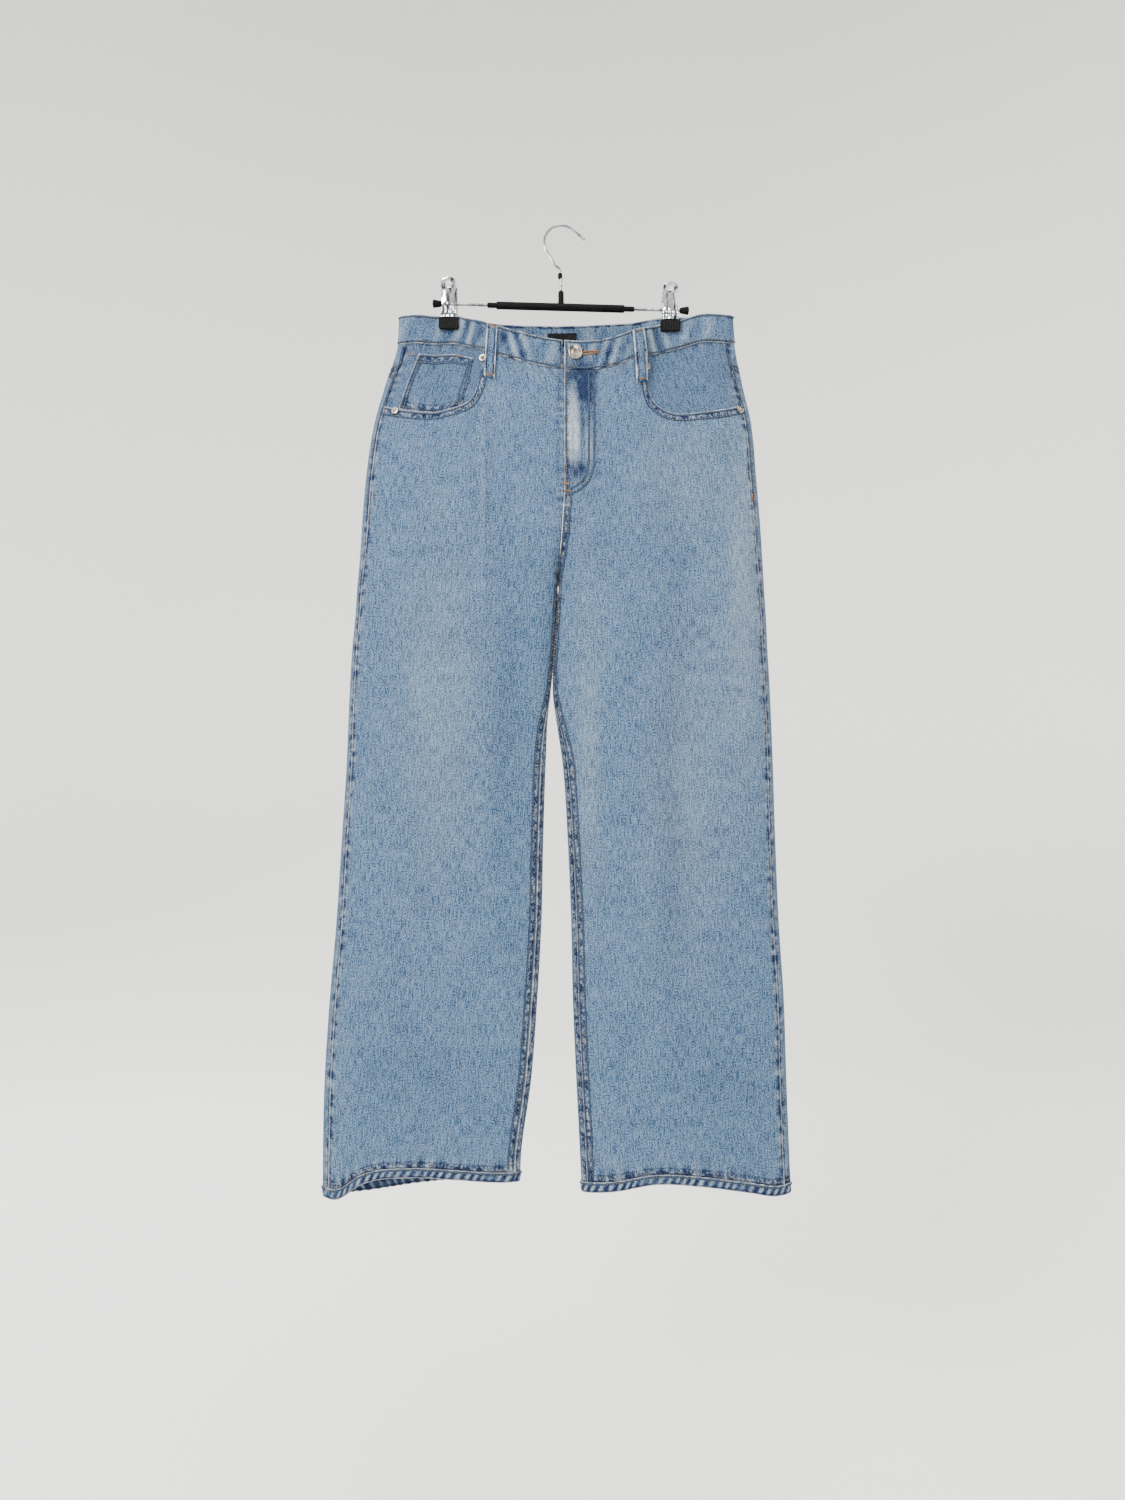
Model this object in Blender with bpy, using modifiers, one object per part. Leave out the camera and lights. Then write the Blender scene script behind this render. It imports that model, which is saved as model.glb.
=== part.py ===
"""Blue jeans on a clip hanger, modelled at real size in metres.

+X is to the right of someone looking at the front, +Y runs to the back and +Z is up. The origin is
the top of the inside of the hook, where the hanger is held. The cloth is worked out as two faces,
front and back, that meet at rounded folds at the sides of the hips and of each leg. A place on a face
is given by x and by its height in the garment, which is the height it would have with a level waist
and a level hem. Every cloth piece is a patch of a face, thickened with a Solidify modifier.
"""

import bpy
import numpy as np
from math import cos, pi, radians, sin, tan
from mathutils import Vector

# Cloth
DENIM = 0.0012
BAND_CLOTH = 0.0024
HEM_CLOTH = 0.0024
HEM_OFFSET = -0.4
SEAM_GAP = 0.0003
FACING_GAP = 0.0007
PAD_GAP = 0.0007
RIVET_GAP = 0.0009

# Heights in the garment
WAIST_TOP = -0.1047
BAND_HEIGHT = 0.033
CROTCH = -0.420
CLEFT_TOP = -0.320
HEM_TOP = -1.096
HEM_END = -1.108
HEM_TURN_START = -0.960

# Where the side seams and inseams lie, measured round the fold from its tip to the front
SIDE_SEAM_IN = 0.013
INSEAM_IN = 0.011
INSEAM_TURN = 0.120

# Outline, millimetres from the hook seat, and half depths of the hips and of the legs
OUTLINE_COLUMNS = ("height", "left_out", "left_in", "right_in", "right_out", "front", "back",
                   "leg_front", "leg_back")
OUTLINE = (
    (-100, -188, 2.8, 3.2, 199, 26, 10, 20, 12),
    (-138, -190, 2.8, 3.2, 201, 27, 12, 21, 14),
    (-186, -205, 2.8, 3.2, 210, 28, 17, 22, 18),
    (-224, -216, 2.8, 3.2, 219, 28, 21, 23, 20),
    (-293, -227, 2.7, 3.3, 226, 28, 25, 24, 23),
    (-340, -231, 0.7, 1.5, 230, 28, 26, 24, 24),
    (-386, -234, -2.6, -1.5, 233, 28, 26, 24, 24),
    (-420, -237, -5, -3, 235, 28, 26, 24, 24),
    (-450, -239, -7, -1, 237, 27, 25, 24, 24),
    (-525, -245, -13, -5, 241, 26, 24, 23, 23),
    (-565, -247, -16, -7, 243, 26, 24, 23, 22),
    (-618, -249, -19, -2, 245, 25, 23, 22, 22),
    (-711, -255, -21, 7, 248, 24, 22, 21, 21),
    (-804, -261, -23, 11, 252, 23, 22, 20, 20),
    (-897, -269, -28, 13, 258, 22, 21, 19, 19),
    (-989, -275, -35, 17, 261, 21, 20, 18, 18),
    (-1082, -277, -47, 22, 265, 20, 19, 18, 17),
    (-1125, -277, -48, 24, 267, 20, 19, 18, 17),
)

# How far the waist droops between the clips, millimetres
FRONT_DROOP_COLUMNS = ("x", "drop")
FRONT_DROOP = ((-190, 0), (-150, 0), (-118, 1), (-92, 13), (-71, 20), (-38, 29), (0, 36), (28, 37),
               (49, 35), (80, 25), (111, 12), (129, 7), (152, 1), (200, -1))
BACK_DROOP = ((-190, 0), (-150, 0), (-110, 1), (-71, 5), (0, 7), (58, 5), (118, 1), (152, 0), (200, -1))

# How far each hem hangs below its level line, millimetres; the front edge arches up
HEM_SAG_COLUMNS = ("across", "left_front", "left_back", "right_front", "right_back")
HEM_SAG = (
    (0.00, 15, 15, 11, 11),
    (0.08, 16, 17, 12, 9),
    (0.20, -2, 16, 7, 7),
    (0.45, -11, 8, -1, 5),
    (0.65, -9, 3, -3, 5),
    (0.85, -5, 0, 6, 7),
    (1.00, -2, -2, 10, 10),
)

# Soft folds, millimetres: the line runs from (x, z) at the top to (x, z) at the foot, and a positive
# depth is a trough
FOLD_COLUMNS = ("side", "face", "x_top", "z_top", "x_foot", "z_foot", "width", "depth")
FOLDS = (
    ("left", "front", -72, -205, -62, -390, 9, 2.6),
    ("left", "front", -86, -190, -84, -430, 5, -1.2),
    ("left", "front", -50, -430, -56, -715, 16, 3.2),
    ("left", "front", -132, -590, -150, -940, 26, 2.4),
    ("left", "front", -185, -235, -110, -300, 9, -1.6),
    ("left", "front", -208, -960, -190, -1080, 14, 2.0),
    ("right", "front", 112, -230, 150, -520, 14, 2.2),
    ("right", "front", 116, -590, 146, -850, 17, 3.2),
    ("right", "front", 150, -830, 232, -1075, 17, 2.8),
    ("right", "front", 36, -560, 50, -960, 20, 1.8),
    ("left", "back", -150, -400, -120, -640, 20, 3.0),
    ("left", "back", -90, -560, -130, -900, 18, 2.6),
    ("left", "back", -60, -330, -170, -420, 12, 2.2),
    ("left", "back", -200, -820, -160, -1060, 16, 2.2),
    ("right", "back", 140, -420, 110, -700, 20, 3.0),
    ("right", "back", 70, -600, 120, -930, 17, 2.6),
    ("right", "back", 60, -335, 165, -415, 12, 2.2),
    ("right", "back", 190, -800, 210, -1050, 15, 2.0),
)

# The clips pinch the waist, millimetres
CLIP_X = {"left": -130.0, "right": 125.5}
PINCH = 0.80
PINCH_WIDTH = 30.0
PINCH_HOLD = 0.020
PINCH_FADE = 0.130
SIDE_DEPTH = 0.50

# Bluntness of the folds: 2 is an ellipse, more is flatter with tighter folds
HIP_BLUNT = 3.6
LEG_BLUNT = 3.8
LOOP_SAMPLES = 181

# Panels
POCKET_SHARE = 0.515
POCKET_DEPTH = 0.088
POCKET_RISE = 0.015
POCKET_BLUNT = 4.0
PANEL_LEVEL_TOP = -0.245
PANEL_TOP_ROWS = 5
PANEL_ROWS = 27
POCKET_COLUMNS = (0.0, 0.03, 0.18, 0.34, 0.52, 0.70, 0.85, 0.95, 0.985, 1.0)
FRONT_COLUMNS = (0.10, 0.28, 0.47, 0.66, 0.83, 0.94, 0.985, 1.0)
BACK_COLUMNS = (0.0, 0.01, 0.035, 0.06, 0.085, 0.13, 0.21, 0.31, 0.42, 0.53, 0.64, 0.75, 0.85, 0.92, 0.96,
                0.99, 1.0)
YOKE_SIDE_DROP = 0.034
YOKE_CENTRE_DROP = 0.072
FACING_BELOW = 0.016
BAND_FOOT = WAIST_TOP - BAND_HEIGHT
PANEL_TOP = BAND_FOOT - 2 * SEAM_GAP
FACING_HEIGHT = POCKET_DEPTH + FACING_BELOW - 2 * SEAM_GAP

# Band and patches, metres. The offset of the band's wall puts BAND_PROUD of it outside the face.
BAND_PROUD = 0.0006
BAND_COLUMNS = 36
BAND_OFFSET = 2 * BAND_PROUD / BAND_CLOTH - 1
COIN_CLOTH = 0.0010
COIN_CLEARANCE = 0.0012
COIN = {"side_column": 2, "inner_column": 6, "top": -0.150, "lift": 0.0015}
LOOP_WIDTH = 0.0115
LOOP_CLOTH = 0.0015
LOOP_TOP = -0.1055
LOOP_FOOT = -0.168
LOOP_SEAT_TOP = 0.0005
LOOP_SEAT_FOOT = 0.0015
LOOP_BOW = 0.0022
LOOP_PLACES = (
    ("belt_loop_front_left", "left", "front", -0.0785, -0.003),
    ("belt_loop_front_right", "right", "front", 0.0865, 0.004),
    ("belt_loop_back_left", "left", "back", -0.1000, -0.002),
    ("belt_loop_back_right", "right", "back", 0.1060, 0.002),
    ("belt_loop_centre_back", "right", "back", 0.0030, 0.000),
)
PATCH = {"side_column": 6, "centre_column": 12, "rows": (2.6, 3, 4, 5, 6, 7, 8), "foot": 8.7, "point": 0.5,
         "taper": 0.3}
FLY_X = 0.003
FLY_WIDTH = 0.040
FLY_FOOT = -0.312
SHIELD = {"start": 0.012, "wider": 0.008, "taper": 0.022, "top_drop": 0.002, "behind": 0.0052}
ZIP_CLOTH = 0.0014
ZIP_IN = 0.010
ZIP = {"half_width": 0.012, "behind": 0.0016}
SLIDER = {"half_width": 0.004, "behind": 0.0033, "drops": (0.006, 0.011, 0.016)}
LABEL_CLOTH = 0.0006
LABEL_GAP = 0.0003
LABEL_ENDS = (-0.017, 0.018)
LABEL_HEIGHTS = (-0.1085, -0.1185, -0.1285)

# Button and rivets: profiles of radius and height above the cloth
BUTTON_PROFILE = ((0.0, 0.0), (0.0080, 0.0), (0.0086, 0.0012), (0.0080, 0.0024), (0.0064, 0.0026),
                  (0.0050, 0.0034), (0.0, 0.0042))
RIVET_PROFILE = ((0.0, 0.0), (0.0042, 0.0), (0.0044, 0.0008), (0.0036, 0.0014), (0.0022, 0.0013),
                 (0.0016, 0.0024), (0.0, 0.0028))
BUTTON_X = 0.0158
RIVET_PLACES = (
    ("rivet_left_inner", "left", -0.0893, -0.1475),
    ("rivet_left_side", "left", -0.1905, -0.2185),
    ("rivet_right_inner", "right", 0.0985, -0.1510),
    ("rivet_right_side", "right", 0.2050, -0.2170),
)

# Hanger
WIRE = 0.0015
HOOK_RADIUS = 0.020
HOOK_CENTRE = Vector((0.0, 0.0, -0.0185))
HOOK_TIP = Vector((0.0274, 0.0, -0.0156))
HOOK_DEGREES = range(50, 222, 12)
HOOK_BENDS = (Vector((-0.0122, 0.0, -0.0365)), Vector((-0.0078, 0.0, -0.0440)), Vector((-0.0038, 0.0, -0.0482)))
SLEEVE = {"start": 0.0025, "end": 0.0090, "radius": 0.0027, "wall": 0.0008}
NECK_TOP = Vector((-0.0020, 0.0, -0.0515))
NECK_FOOT = Vector((-0.0006, 0.0, -0.0745))
STEM_RADIUS = 0.0033
STEM_TOP = -0.0748
BAR_RADIUS = 0.0044
BAR_HEIGHT = -0.0934
BAR_TILT = radians(1.6)
SOCKET_RADIUS = 0.0030
ARM_RADIUS = 0.0017
BAR_ENDS = {"left": -0.0766, "right": 0.0740}
SOCKET_ENDS = {"left": -0.0863, "right": 0.0847}
CAP_INNER = {"left": -0.1382, "right": 0.1366}
CAP_LENGTH = 0.0115
CAP_RADII = (0.0028, 0.0050)
CLIP_WIDTH = 0.0175
CLIP_TOP = {"left": -0.0629, "right": -0.0690}
PAD_TOP = {"left": -0.1085, "right": -0.1110}
PAD_HEIGHT = 0.0135
PAD_WIDTH = 0.0230
PAD_THICK = 0.0045
JAW_CLOTH = 0.0011
PAD_EDGE = 0.0010
JAW_SPREADS = (0.0125, 0.0113, 0.0085, 0.0062, 0.0062)
JAW_WIDTHS = (0.50, 0.82, 1.0, 1.0, 0.95, 1.0, 1.12)
JAW_ARCH = 0.0012
SPRING_RADIUS = 0.0048
SPRING_SHARE = 0.42
SPRING_GAP = 0.0004


def smooth_step(value):
    """Rise from 0 to 1 with level ends."""
    t = np.clip(value, 0.0, 1.0)
    return t * t * (3.0 - 2.0 * t)


def table_value(table, columns, name, key):
    """Read a named column of a table at key, with a smooth cubic through its rows."""
    rows = np.array(table, dtype=float)
    knots = rows[:, 0]
    values = rows[:, columns.index(name)]
    if knots[0] > knots[-1]:
        knots, values = knots[::-1], values[::-1]
    slopes = np.gradient(values, knots)
    key = np.clip(key, knots[0], knots[-1])
    low = np.clip(np.searchsorted(knots, key) - 1, 0, len(knots) - 2)
    step = knots[low + 1] - knots[low]
    t = (key - knots[low]) / step
    start = (1 + 2 * t) * (1 - t) ** 2 * values[low] + t * (1 - t) ** 2 * step * slopes[low]
    end = t * t * (3 - 2 * t) * values[low + 1] + t * t * (t - 1) * step * slopes[low + 1]
    return start + end


def outline(name, z):
    """A column of the outline at garment height z, in metres."""
    return table_value(OUTLINE, OUTLINE_COLUMNS, name, np.asarray(z) * 1000.0) / 1000.0


def lens(t, blunt):
    """Depth of a flattened tube across its width, 1 in the middle and 0 at the folds."""
    return np.sqrt(np.clip(1.0 - np.abs(t) ** blunt, 0.0, 1.0))


def pinch_factor(x, z):
    """How far the clips press the waist together at x, and how far it opens beyond them."""
    x_mm = np.asarray(x) * 1000.0
    fade = 1 - smooth_step((WAIST_TOP - PINCH_HOLD - np.asarray(z)) / PINCH_FADE)
    near = sum(np.exp(-((x_mm - place) / PINCH_WIDTH) ** 4) for place in CLIP_X.values())
    inside = smooth_step((x_mm - CLIP_X["left"] + 20) / 40) * smooth_step((CLIP_X["right"] + 20 - x_mm) / 40)
    side = SIDE_DEPTH + (1 - SIDE_DEPTH) * inside
    return (1 - PINCH * fade * near) * (1 + (side - 1) * fade)


def fold_depth(side, face, x, z):
    """Sum of the soft folds at a place on a face, positive inwards."""
    total = np.zeros(np.broadcast(x, z).shape)
    for row in FOLDS:
        fold = dict(zip(FOLD_COLUMNS, row))
        if (fold["side"], fold["face"]) != (side, face):
            continue
        along = (np.asarray(z) * 1000 - fold["z_top"]) / (fold["z_foot"] - fold["z_top"])
        line = fold["x_top"] + (fold["x_foot"] - fold["x_top"]) * along
        window = smooth_step(along / 0.3 + 0.3) * smooth_step((1 - along) / 0.3 + 0.3)
        total = total + fold["depth"] * window * np.exp(-((np.asarray(x) * 1000 - line) / fold["width"]) ** 2)
    return total / 1000.0


def face_y(side, face, x, z):
    """Y of a face at x and garment height z; 0 is the plane of the folds."""
    x, z = np.asarray(x, dtype=float), np.asarray(z, dtype=float)
    left, right = outline("left_out", z), outline("right_out", z)
    hips = lens((x - (left + right) / 2) / ((right - left) / 2), HIP_BLUNT) * pinch_factor(x, z)
    outer, inner = outline(side + "_out", z), outline(side + "_in", z)
    across = (x - (outer + inner) / 2) / (np.abs(outer - inner) / 2)
    leg = lens(across, LEG_BLUNT)
    cleft = smooth_step((CLEFT_TOP - z) / (CLEFT_TOP - CROTCH)) ** 2
    depth = (1 - cleft) * hips * outline(face, z) + cleft * leg * outline("leg_" + face, z)
    outer_half = np.where((x - (outer + inner) / 2) * (outer - inner) > 0, 1.0, 0.0)
    edge = 1 - np.abs(across) ** 6 * np.maximum(outer_half, cleft)
    depth = depth - fold_depth(side, face, x, z) * np.clip(edge, 0, 1)
    return np.where(face == "front", -depth, depth)


def hang(side, face, x, z):
    """World height of a place on a face: the droop of the waist and the sag of the hem are added."""
    x, z = np.asarray(x, dtype=float), np.asarray(z, dtype=float)
    droop = table_value(FRONT_DROOP if face == "front" else BACK_DROOP, FRONT_DROOP_COLUMNS, "drop", x * 1000)
    fade = 1 - smooth_step((WAIST_TOP - BAND_HEIGHT - z) / (WAIST_TOP - BAND_HEIGHT - CROTCH))
    outer, inner = outline(side + "_out", z), outline(side + "_in", z)
    across = np.clip((x - outer) / (inner - outer), 0, 1)
    sag = table_value(HEM_SAG, HEM_SAG_COLUMNS, side + "_" + face, across)
    turn = smooth_step((HEM_TURN_START - z) / (HEM_TURN_START - HEM_END)) ** 1.5
    return z - droop * fade / 1000.0 - sag * turn / 1000.0


def surface_point(side, face, x, z):
    """World point of a place on a face."""
    x, z = np.broadcast_arrays(np.asarray(x, dtype=float), np.asarray(z, dtype=float))
    return np.stack([x, face_y(side, face, x, z), hang(side, face, x, z)], axis=-1)


def section_loop(side, z):
    """The section of a side at garment height z, from its inner edge over the front to the outer fold
    and along the back to the inner edge, with the length along it and its length at the outer fold."""
    outer, inner = float(outline(side + "_out", z)), float(outline(side + "_in", z))
    t = np.linspace(0, pi, LOOP_SAMPLES)
    x = (outer + inner) / 2 - (outer - inner) / 2 * np.cos(t)
    front = np.stack([x, face_y(side, "front", x, np.full_like(x, z))], axis=-1)
    back = np.stack([x, face_y(side, "back", x, np.full_like(x, z))], axis=-1)
    points = np.concatenate([front, back[::-1][1:]])
    faces = np.array([0] * len(front) + [1] * (len(back) - 1))
    steps = np.linalg.norm(np.diff(points, axis=0), axis=1)
    length = np.concatenate([[0], np.cumsum(steps)])
    return points, faces, length, length[LOOP_SAMPLES - 1]


def inseam_shift(z):
    """How far round the inner fold the inseam lies: none at the crotch, then more down the thigh."""
    return INSEAM_IN * smooth_step((CROTCH - z) / INSEAM_TURN)


def loop_row(side, z, fractions, panel):
    """World points of one row of a panel at garment heights z, one for each column. The fractions run
    from the side seam (0) to the centre or the inseam (1)."""
    points, faces, length, fold_at = section_loop(side, z)
    total = length[-1]
    shift = float(inseam_shift(z))
    seam_at = fold_at - SIDE_SEAM_IN
    gap = SEAM_GAP / 2
    if panel == "front":
        at = seam_at - gap - fractions * (seam_at - shift - 2 * gap)
    else:
        at = seam_at + gap + fractions * (total + shift - seam_at - 2 * gap)
    at = np.where(at > total, at - total, at)
    x = np.interp(at, length, points[:, 0])
    y = np.interp(at, length, points[:, 1])
    on_front = at < fold_at
    z_front, z_back = hang(side, "front", x, z), hang(side, "back", x, z)
    return np.stack([x, y, np.where(on_front, z_front, z_back)], axis=-1)


def grid_object(name, points, thickness, material, offset=-1.0, closed=False):
    """A wall through a grid of points (rows by columns by 3), thickened with Solidify. The rows run down
    and the columns run left to right as seen from outside, so the wall grows inwards from the points."""
    rows, columns = points.shape[:2]
    mesh = bpy.data.meshes.new(name)
    across = columns if closed else columns - 1
    faces = []
    for row in range(rows - 1):
        for column in range(across):
            right = (column + 1) % columns
            faces.append((row * columns + column, (row + 1) * columns + column,
                          (row + 1) * columns + right, row * columns + right))
    mesh.from_pydata([tuple(point) for point in points.reshape(-1, 3)], [], faces)
    mesh.update()
    mesh.shade_smooth()
    result = add_object(name, mesh, material)
    wall = result.modifiers.new("Wall", "SOLIDIFY")
    wall.thickness = thickness
    wall.offset = offset
    wall.use_even_offset = True
    return result


def add_object(name, mesh, material):
    """A new object in the model's collection, with its material."""
    result = bpy.data.objects.new(name, mesh)
    MODEL.objects.link(result)
    mesh.materials.clear()
    mesh.materials.append(material)
    return result


def make_material(name, colour, roughness, metallic=0.0):
    """A plain Principled material."""
    material = bpy.data.materials.new(name)
    material.use_nodes = True
    shader = material.node_tree.nodes["Principled BSDF"]
    shader.inputs["Base Color"].default_value = (*colour, 1.0)
    shader.inputs["Roughness"].default_value = roughness
    shader.inputs["Metallic"].default_value = metallic
    return material


def surface_frame(side, face, x, z):
    """A point on a face with its outward normal and its direction down the cloth."""
    step = 0.002
    point = surface_point(side, face, x, z)
    across = surface_point(side, face, x + step, z) - surface_point(side, face, x - step, z)
    down = surface_point(side, face, x, z - step) - surface_point(side, face, x, z + step)
    normal = np.cross(across, down) if face == "back" else np.cross(down, across)
    normal = normal / np.linalg.norm(normal, axis=-1, keepdims=True)
    down = down / np.linalg.norm(down, axis=-1, keepdims=True)
    return point, normal, down


def patch_points(side, face, x, z, lift):
    """Grid of points on a face, lifted along the outward normal. x and z are grids, rows down."""
    point, normal, _ = surface_frame(side, face, x, z)
    return point + normal * np.asarray(lift)[..., None] if np.ndim(lift) else point + normal * lift


def outward_columns(points, face):
    """Order columns left to right as seen from outside the face."""
    from_left = points[0, 0, 0] < points[0, -1, 0]
    wanted = face == "front"
    return points if from_left == wanted else points[:, ::-1]


def front_shares():
    """Columns of a front panel, from the side seam (0) to the fly or the inseam (1)."""
    mouth = np.array(POCKET_COLUMNS) * POCKET_SHARE
    return np.concatenate([mouth, POCKET_SHARE + np.array(FRONT_COLUMNS) * (1 - POCKET_SHARE)])


def mouth_height(share):
    """Garment height of the pocket mouth; share is 0 at the side seam and 1 at its inner end."""
    share = np.clip(share, 0, 1)
    scoop = (1 - share ** POCKET_BLUNT) ** (1 / POCKET_BLUNT)
    return PANEL_TOP - POCKET_DEPTH * scoop + POCKET_RISE * (1 - share) ** 2 * scoop


def yoke_height(fraction):
    """Garment height of the yoke seam across the back."""
    return BAND_FOOT - YOKE_SIDE_DROP - (YOKE_CENTRE_DROP - YOKE_SIDE_DROP) * fraction


def panel_heights(top):
    """Heights of a leg panel's grid: rows that level out below its top edge, then level rows."""
    share = np.linspace(0, 1, PANEL_TOP_ROWS + 1)[:, None]
    upper = top[None, :] * (1 - share) + PANEL_LEVEL_TOP * share
    levels = np.linspace(PANEL_LEVEL_TOP, HEM_TOP, PANEL_ROWS)[1:, None]
    return np.concatenate([upper, np.repeat(levels, len(top), axis=1)])


def panel_points(side, panel, fractions, heights):
    """World points of a panel grid whose heights may change along a row."""
    rows = []
    for row in heights:
        line = np.zeros((len(fractions), 3))
        for z in np.unique(row):
            line = np.where((row == z)[:, None], loop_row(side, z, fractions, panel), line)
        rows.append(line)
    points = np.array(rows)
    from_outside = (side == "left") == (panel == "front")
    return points if from_outside else points[:, ::-1]


def lifted(points, distance):
    """A grid moved outwards along its own normals."""
    across = np.gradient(points, axis=1)
    down = np.gradient(points, axis=0)
    normal = np.cross(down, across)
    normal /= np.linalg.norm(normal, axis=-1, keepdims=True)
    return points + normal * distance


def lie_on(carrier, rows, columns, lift):
    """Points that lie on a carrier's grid at shares of its rows and columns, lifted outwards."""
    outer = lifted(carrier, lift)
    row = np.clip(rows, 0, 1) * (outer.shape[0] - 1)
    column = np.clip(columns, 0, 1) * (outer.shape[1] - 1)
    top = np.minimum(row.astype(int), outer.shape[0] - 2)
    left = np.minimum(column.astype(int), outer.shape[1] - 2)
    down, right = (row - top)[..., None], (column - left)[..., None]
    upper = outer[top, left] * (1 - right) + outer[top, left + 1] * right
    lower = outer[top + 1, left] * (1 - right) + outer[top + 1, left + 1] * right
    return upper * (1 - down) + lower * down


def build_panels(side):
    """Front and back leg panels, the yoke and the hip-pocket facing of one side."""
    mouth = np.array(POCKET_COLUMNS)
    front_columns = front_shares()
    top = np.concatenate([mouth_height(mouth), np.full(len(FRONT_COLUMNS), PANEL_TOP)])
    heights = panel_heights(top)
    grid_object(side + "_front_panel", panel_points(side, "front", front_columns, heights), DENIM, DENIM_BLUE)

    back_columns = np.array(BACK_COLUMNS)
    heights = panel_heights(yoke_height(back_columns) - 2 * SEAM_GAP)
    back_panel = panel_points(side, "back", back_columns, heights)
    grid_object(side + "_back_panel", back_panel, DENIM, DENIM_BLUE)

    share = np.linspace(0, 1, 4)[:, None]
    heights = PANEL_TOP * (1 - share) + yoke_height(back_columns)[None, :] * share
    grid_object(side + "_back_yoke", panel_points(side, "back", back_columns, heights), DENIM, DENIM_BLUE)

    facing_columns = front_columns[:len(mouth) + 1]
    foot = BAND_FOOT - POCKET_DEPTH - FACING_BELOW
    heights = np.repeat(np.linspace(PANEL_TOP, foot, 7)[:, None], len(facing_columns), axis=1)
    points = panel_points(side, "front", facing_columns, heights)
    facing = lifted(points, -DENIM - FACING_GAP)
    grid_object(side + "_pocket_facing", facing, DENIM, DENIM_BLUE)
    return facing, back_panel


def build_hem(side):
    """The turned hem at the foot of a leg, a band that runs all round on the panels' own columns."""
    rows = []
    for z in (HEM_TOP - SEAM_GAP, HEM_END):
        front = loop_row(side, z, front_shares(), "front")
        back = loop_row(side, z, np.array(BACK_COLUMNS[1:-1]), "back")
        rows.append(np.concatenate([front[::-1], back]))
    points = np.array(rows)
    points = points if side == "right" else points[:, ::-1]
    grid_object(side + "_hem", points, HEM_CLOTH, DENIM_BLUE, offset=HEM_OFFSET, closed=True)


def build_waistband():
    """The waistband, one strip from the fly round the back to the fly."""
    half = BAND_COLUMNS
    steps = np.linspace(0, 1, half)
    rows = []
    for z in np.linspace(WAIST_TOP, BAND_FOOT, 3):
        halves = []
        for side in ("right", "left"):
            points, _, length, fold_at = section_loop(side, z)
            spread = steps - 0.6 * np.sin(4 * pi * steps) / (4 * pi)
            at = np.where(spread < 0.5, spread * 2 * fold_at, fold_at + (spread - 0.5) * 2 * (length[-1] - fold_at))
            at[0] = SEAM_GAP / 2
            x, y = np.interp(at, length, points[:, 0]), np.interp(at, length, points[:, 1])
            height = np.where(at < fold_at, hang(side, "front", x, z), hang(side, "back", x, z))
            halves.append(np.stack([x, y, height], axis=-1))
        rows.append(np.concatenate([halves[0], halves[1][::-1][1:]]))
    grid_object("waistband", np.array(rows), BAND_CLOTH, DENIM_BLUE, offset=BAND_OFFSET)


def build_coin_pocket(facing):
    """The small pocket that shows inside the photo-left hip pocket, down to the mouth."""
    side_column, inner_column, top, lift = COIN.values()
    share = np.array(POCKET_COLUMNS)[side_column:inner_column + 1]
    foot = (PANEL_TOP - mouth_height(share) - COIN_CLEARANCE) / FACING_HEIGHT
    head = (PANEL_TOP - top) / FACING_HEIGHT
    level = np.array([head, 1 / 6, 2 / 6, 3 / 6, 4 / 6])[:, None] + 0 * share[None, :]
    rows = np.concatenate([level, foot[None, :]])
    columns = np.arange(side_column, inner_column + 1)[None, :] / len(POCKET_COLUMNS) + 0 * rows
    points = lie_on(facing, rows, columns, lift)
    grid_object("coin_pocket", points, COIN_CLOTH, DENIM_BLUE)


def build_belt_loop(name, side, face, x_top, lean):
    """One belt loop: a strip over the band that bows out between its two sewn ends."""
    down = np.linspace(0, 1, 8)[:, None]
    across = np.linspace(-0.5, 0.5, 3)[None, :]
    x = x_top + lean * down + across * LOOP_WIDTH
    z = LOOP_TOP + (LOOP_FOOT - LOOP_TOP) * down + 0 * across
    on_band = smooth_step((z - BAND_FOOT + 0.004) / 0.004)
    seat = LOOP_SEAT_TOP + (LOOP_SEAT_FOOT - LOOP_SEAT_TOP) * down
    lift = BAND_PROUD * on_band + LOOP_CLOTH + seat + LOOP_BOW * np.sin(pi * down) ** 0.7 + 0 * across
    points = outward_columns(patch_points(side, face, x, z, lift), face)
    grid_object(name, points, LOOP_CLOTH, DENIM_BLUE)


def build_back_pocket(side, panel):
    """A plain back pocket with a pointed foot, lying on the back panel along the panel's own columns."""
    size = PATCH
    columns = np.arange(size["side_column"], size["centre_column"] + 1, dtype=float)
    across = np.linspace(-1, 1, len(columns))
    level = np.array(size["rows"], dtype=float)[:, None] + 0 * across[None, :]
    foot = size["foot"] - size["point"] * np.abs(across)
    rows = np.concatenate([level, foot[None, :]])
    down = np.linspace(0, 1, len(rows))[:, None]
    columns = columns[None, :] - size["taper"] * down * np.sign(across) * (np.abs(across) == 1)
    if side == "left":
        columns = len(BACK_COLUMNS) - 1 - columns
        rows, columns = rows[:, ::-1], columns[:, ::-1]
    points = lie_on(panel, rows / (panel.shape[0] - 1), columns / (panel.shape[1] - 1), 2.5 * SEAM_GAP + DENIM)
    grid_object(side + "_back_pocket", points, DENIM, DENIM_BLUE)


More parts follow.
